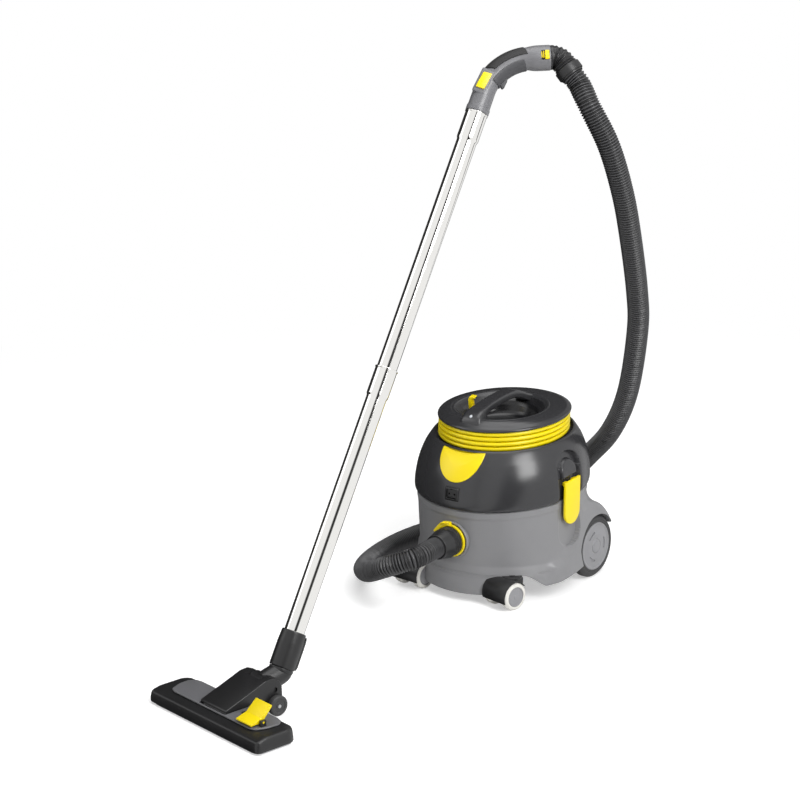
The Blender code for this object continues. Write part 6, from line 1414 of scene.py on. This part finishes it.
for scale in (0.05, 0.4, 0.8, 0.95):
    tool_ring(0.0030, z=0.0042, scale=scale)
for distance, z in (
    (0.0030, 0.0042), (0.0030, 0.0031), (0.0018, 0.0030), (0.0006, 0.0036), (0.0, 0.0050), (0.0002, 0.0110)
):
    tool_ring(distance, z=z)
for distance, drop in (
    (0.0012, 0.0048), (0.0019, 0.0030), (0.0024, 0.0017), (0.0034, 0.0007), (0.0048, 0.0002), (0.0064, 0)
):
    tool_ring(distance, drop=drop)
for scale in (0.94, 0.88, 0.8, 0.7, 0.6, 0.45, 0.3, 0.15, 0.04):
    tool_ring(0.0064, scale=scale)
base = skin(rings)
cutters = [block((-0.1225, -0.0190, -0.01), (0.1225, 0.0110, 0.0120), 0.0030)]
cutters += [block((-0.1255, n - 0.0030, -0.01), (0.1255, n + 0.0030, 0.0210)) for n in (-0.0300, 0.0300)]
boolean(base, together(*cutters))
boolean(base, across_tool(0.0114, HOOD_HALF + 0.0006, HOOD_PIVOT, 64))
boolean(
    base,
    block(
        (-HOOD_HALF - 0.0006, HOOD_PIVOT.y - 0.0114, 0.0195),
        (HOOD_HALF + 0.0006, HOOD_PIVOT.y + 0.0114, 0.04)
    )
)
boolean(base, block((-0.0220, -0.0120, 0.0), (0.0220, 0.0040, 0.0160)))
POST = 0.0224
for side in (-1, 1):
    low = (PEDAL.x - 0.0030 + side * POST, PEDAL.y - 0.0050, 0.0200)
    boolean(base, block(low, (low[0] + 0.0060, low[1] + 0.0100, 0.0377), 0.0014), "UNION")
boolean(base, across_tool(0.0022, 0.0450, PEDAL, 32))
fitted(moved(base, TOOL), "tool_base_black", "tool", tool_abs, ["tool_base"], angle=38)
inlay = [
    (-0.0970, -0.0205), (0.0985, -0.0205), (0.1090, -0.0170), (0.1165, 0.0020), (0.1180, 0.0220),
    (0.1100, 0.0320), (0.0980, 0.0345), (-0.0980, 0.0345), (-0.1100, 0.0320), (-0.1180, 0.0220),
    (-0.1165, 0.0020), (-0.1080, -0.0170),
]
inlay = rounded(
    inlay, [0.010, 0.010, 0.010, 0.02, 0.008, 0.008, 0.01, 0.01, 0.008, 0.008, 0.02, 0.010], closed=True,
    steps=6
)
inlay = prism(inlay, 0.0253, 0.0283, "Z", 0.0012, 3)
boolean(inlay, block((-HOOD_HALF - 0.0012, -0.0185, 0.0), (HOOD_HALF + 0.0012, 0.0500, 0.05)))
holes = [
    block(
        (PEDAL.x + s * POST - 0.0034, PEDAL.y - 0.0054, 0.0),
        (PEDAL.x + s * POST + 0.0034, PEDAL.y + 0.0054, 0.05)
    )
    for s in (-1, 1)
]
boolean(inlay, together(*holes))
fitted(moved(inlay, TOOL), "tool_plate_grey", "tool", plate_abs, ["tool_plate"])

# ---- pedal and brushes --------------------------------------------------------------------------
# The yellow rocker is folded to a V on a pin: its rear leaf lowers two strips of bristles.
leaf = [
    (-0.0212, 0.0322), (-0.0206, 0.0342), (-0.0010, 0.0396), (0.0182, 0.0560), (0.0198, 0.0554),
    (0.0206, 0.0534), (0.0040, 0.0354), (-0.0010, 0.0322), (-0.0192, 0.0312),
]
leaf = rounded(leaf, [0.0008, 0.0008, 0.0012, 0.0008, 0.0006, 0.0008, 0.004, 0.003, 0.001], closed=True)
pedal = prism(leaf, PEDAL.x - 0.0190, PEDAL.x + 0.0190, "X", 0.0005, 3)
boolean(pedal, across_tool(0.0018, 0.0190 + 0.0058, PEDAL, 32), "UNION")
fitted(moved(pedal, TOOL), "pedal_yellow", "pedal", yellow_abs, ["tool_pedal"])
# Black nylon filament.
filament = moulded("nylon_bristle", "#262628", 0.45, 0.5, 0.10, 0.08, scuff="#5e5e5e")
tufts, given, result = node_group(
    "bristles", Length="Float", Thickness="Float", Splay="Float", Seed="Int", Finish="Material"
)
strand = node(
    tufts, "GeometryNodeMeshCylinder",
    {"Vertices": 5, "Radius": given["Thickness"], "Depth": given["Length"]}, fill_type="NGON"
)
down = node(tufts, "ShaderNodeMath", {0: given["Length"], 1: -0.5}, operation="MULTIPLY")
drop = node(tufts, "ShaderNodeCombineXYZ", {"Z": down.outputs[0]})
hung = node(tufts, "GeometryNodeTransform", {"Geometry": strand.outputs[0], "Translation": drop.outputs[0]})
back = node(tufts, "ShaderNodeMath", {0: given["Splay"], 1: -1.0}, operation="MULTIPLY")
least = node(tufts, "ShaderNodeCombineXYZ", {"X": back.outputs[0], "Y": back.outputs[0]})
most = node(tufts, "ShaderNodeCombineXYZ", {"X": given["Splay"], "Y": given["Splay"]})
lean = node(
    tufts, "FunctionNodeRandomValue", {0: least.outputs[0], 1: most.outputs[0], "Seed": given["Seed"]},
    data_type="FLOAT_VECTOR"
)
on_points = node(
    tufts, "GeometryNodeInstanceOnPoints",
    {"Points": given["Geometry"], "Instance": hung.outputs[0], "Rotation": lean.outputs[0]}
)
real = node(tufts, "GeometryNodeRealizeInstances", {0: on_points.outputs[0]})
done = node(tufts, "GeometryNodeSetMaterial", {"Geometry": real.outputs[0], "Material": given["Finish"]})
tufts.links.new(done.outputs[0], result.inputs[0])
for seed, n, name in ((3, -0.0300, "front"), (8, 0.0300, "rear")):
    roots = [(x, n + d, 0.0100) for x in np.linspace(-0.1225, 0.1225, 180) for d in (-0.0012, 0.0, 0.0012)]
    strands = grown(
        object_of(roots), tufts, Length=0.0084, Thickness=0.00019, Splay=0.07, Seed=seed, Finish=filament
    )
    strip = block((-0.1249, n - 0.0024, 0.0090), (0.1249, n + 0.0024, 0.0130), 0.0005, 2)
    brush = moved(together(strip, strands), TOOL)
    fitted(brush, "bristles_" + name, "brush_" + name, filament, ["tool_brush_" + name])

# ---- hood, neck and sleeve ----------------------------------------------------------------------
# A wedge-shaped hood tips in the base, the bent neck tips in the hood's fork, and the sleeve swivels on
# the neck. Its clip lies along the back, and two rollers carry the hood.
wedge = [
    (-0.0108, 0.0262), (-0.0130, 0.0282), (-0.0158, 0.0302), (-0.0140, 0.0330), (0.0300, 0.0480),
    (0.0620, 0.0592), (0.0760, 0.0600), (0.0880, 0.0545), (0.0935, 0.0430), (0.0935, 0.0250),
    (0.0880, 0.0090), (0.0700, 0.0060), (0.0480, 0.0100), (0.0410, 0.0180), (0.0405, 0.0262),
]
wedge_corners = [
    0, 0.001, 0.0010, 0.0012, 0.02, 0.006, 0.008, 0.008, 0.006, 0.010, 0.006, 0.008, 0.008, 0.006, 0.002
]
hood = prism(rounded(wedge, wedge_corners, closed=True), -HOOD_HALF, HOOD_HALF, "X", 0.0010, 3)
boolean(hood, across_tool(0.0105, HOOD_HALF - 0.0030, HOOD_PIVOT, 64), "UNION")
boolean(hood, block((-0.0192, 0.0612, -0.01), (0.0192, 0.12, 0.10), 0.0020))
boolean(hood, across_tool(0.0043, HOOD_HALF + 0.01, ELBOW_PIVOT, 32))
boolean(hood, across_tool(0.0033, HOOD_HALF + 0.01, Vector((0, 0.0790, 0.0165)), 32))
fitted(moved(hood, TOOL), "tool_hood_black", "hood", tool_abs, ["tool_hood"])
for side, name in ((1, "right"), (-1, "left")):
    roller = [
        (0.0035, 0.0), (0.0150, 0.0), (0.0165, 0.0018), (0.0165, 0.0092), (0.0150, 0.0110), (0.0112, 0.0110),
        (0.0104, 0.0100), (0.0060, 0.0100), (0.0054, 0.0110), (0.0035, 0.0110),
    ]
    roller = turned_ring(roller, [0, 0.0012, 0.002, 0.002, 0.0012, 0.0004, 0.0004, 0.0004, 0.0004, 0], 72)
    stand = TOOL @ Matrix.Translation((side * (HOOD_HALF + 0.0003), 0.0790, 0.0165)) @ lay_out(side)
    fitted(
        moved(roller, stand), "tool_roller_tyre_" + name, "roller_" + name, tyre_rubber,
        ["tool_roller_" + name]
    )
ahead = (TOOL.inverted().to_3x3() @ WAND).normalized()
foot = TOOL.inverted() @ NECK_RIM - ahead * 0.0600
lower = foot - ahead * 0.0020
neck_path = smooth_route(
    [
        ELBOW_PIVOT + Vector((0, 0.0020, 0.0008)), ELBOW_PIVOT + Vector((0, 0.0150, 0.0045)),
        lower - ahead * 0.0060, lower
    ],
    0.0015
)
neck = swept(neck_path, 0.0182, 64, start=(1, 0, 0))
stand = Matrix.Translation(foot) @ Vector((0, 0, 1)).rotation_difference(ahead).to_matrix().to_4x4()
collar = turned(
    rounded([(0, -0.0003), (0.0196, -0.0003), (0.0196, -0.0062), (0, -0.0062)], [0, 0.0008, 0.0014, 0]), 72
)
spigot = rod(0.0163, 0.0140, -0.0040, 64)
for part in (
    across_tool(0.0174, 0.0188, ELBOW_PIVOT, 72), across_tool(0.0040, 0.0300, ELBOW_PIVOT),
    moved(collar, stand), moved(spigot, stand)
):
    boolean(neck, part, "UNION")
boolean(neck, moved(rod(0.0115, 0.0300, -0.0100, 48), stand))
fitted(moved(neck, TOOL), "tool_neck_black", "neck", tool_abs, ["tool_neck"], angle=38)
sleeve = [
    (0.0171, 0.0), (0.0198, 0.0), (0.0208, 0.0010), (0.0208, 0.0400), (0.0200, 0.0560), (0.0198, 0.0590),
    (0.0188, 0.0597), (0.0171, 0.0597),
]
sleeve = turned_ring(sleeve, [0.0003, 0.0008, 0.0008, 0.01, 0.004, 0.001, 0.0008, 0.0004], 96)
fitted(
    moved(sleeve, along_wand(-0.0600)), "tool_sleeve_black", "base", tool_abs, ["tool_sleeve"],
    angle=50
)
side_view = [
    (0.0, 0.0), (0.0040, 0.0), (0.0058, 0.0060), (0.0054, 0.0440), (0.0040, 0.0540), (0.0024, 0.0540),
    (0.0, 0.0380),
]
side_view = rounded(side_view, [0.0008, 0.002, 0.006, 0.01, 0.0012, 0.0008, 0.004], closed=True)
clip = moved(prism(side_view, -0.0085, 0.0085, "X", 0.0007, 3), Matrix.Translation((0, 0.0211, -0.0580)))
grooves = [
    block((-0.0060, 0.0258, -0.0530 + 0.0030 * i), (0.0060, 0.0280, -0.0518 + 0.0030 * i)) for i in range(5)
]
boolean(clip, together(*grooves))
clip = moved(clip, along_wand(0.0) @ Matrix.Rotation(math.pi, 4, "Z"))
fitted(clip, "neck_clip_black", "clip", black_nylon, ["neck_clip"])

# ---- pieces inside ------------------------------------------------------------------------------
# Motor, filters, seal, drum, pins and sole plate keep their modelled shapes and get their finish. The
# fleece bag, which swells and creases as it fills, is the only one drawn anew.
# Filter fleece: pale, with fine fibres.
fleece = moulded("filter_fleece", "#c3bfb4", 0.90, 0.5, 0.60, 0.10, scuff="#8f8a7e")
# Pressed zinc-plated steel.
zinc = plated("zinc_plated_steel", "#b9babb", 220.0, 5.0, 0.24, 0.40)
# It bulges between folds that run up from its floor, and stays clear of the container's wall.
bag = [
    (0, 0.1215), (0.0600, 0.1205), (0.0880, 0.1140), (0.1010, 0.1010), (0.1040, 0.0860), (0.1010, 0.0690),
    (0.0900, 0.0612), (0.0700, 0.0568), (0, 0.0566),
]
bag = turned(dense(rounded(bag, [0, 0.01, 0.012, 0.012, 0.010, 0.010, 0.010, 0.006, 0]), 0.002), 240)
for corner in bag.data.vertices:
    x, y, z = corner.co
    turn, reach = math.atan2(y, x), math.hypot(x, y)
    bulge = abs(math.sin(5.5 * turn + 30 * (z - 0.09))) * (0.6 + 0.4 * math.sin(3 * turn + 1.3))
    crumple = abs(math.sin(14 * turn - 90 * z + 2 * math.sin(4 * turn)))
    sink = (1 - bulge) * 0.0060 + (1 - crumple) * 0.0014
    share = min(1.0, reach / 0.05)
    squeeze = 1 - sink * share / max(reach, 0.01)
    corner.co.x, corner.co.y = x * squeeze, y * squeeze
    corner.co.z = z - sink * 0.7 * share if z > 0.09 else z
fitted(bag, "dust_bag_fleece", "base", fleece, ["dust_bag"], angle=80)
INSIDE = {
    fleece: ["filter_basket", "exhaust_filter"],
    black_nylon: ["motor_unit", "head_base"],
    tyre_rubber: ["head_seal"],
    head_abs: ["cable_drum"],
    zinc: ["axle_stub_right", "axle_stub_left", "tool_roller_axle", "tool_sole"],
}
for finish, names in INSIDE.items():
    for name in names:
        for held in bpy.data.objects[name].material_slots:
            held.material = finish
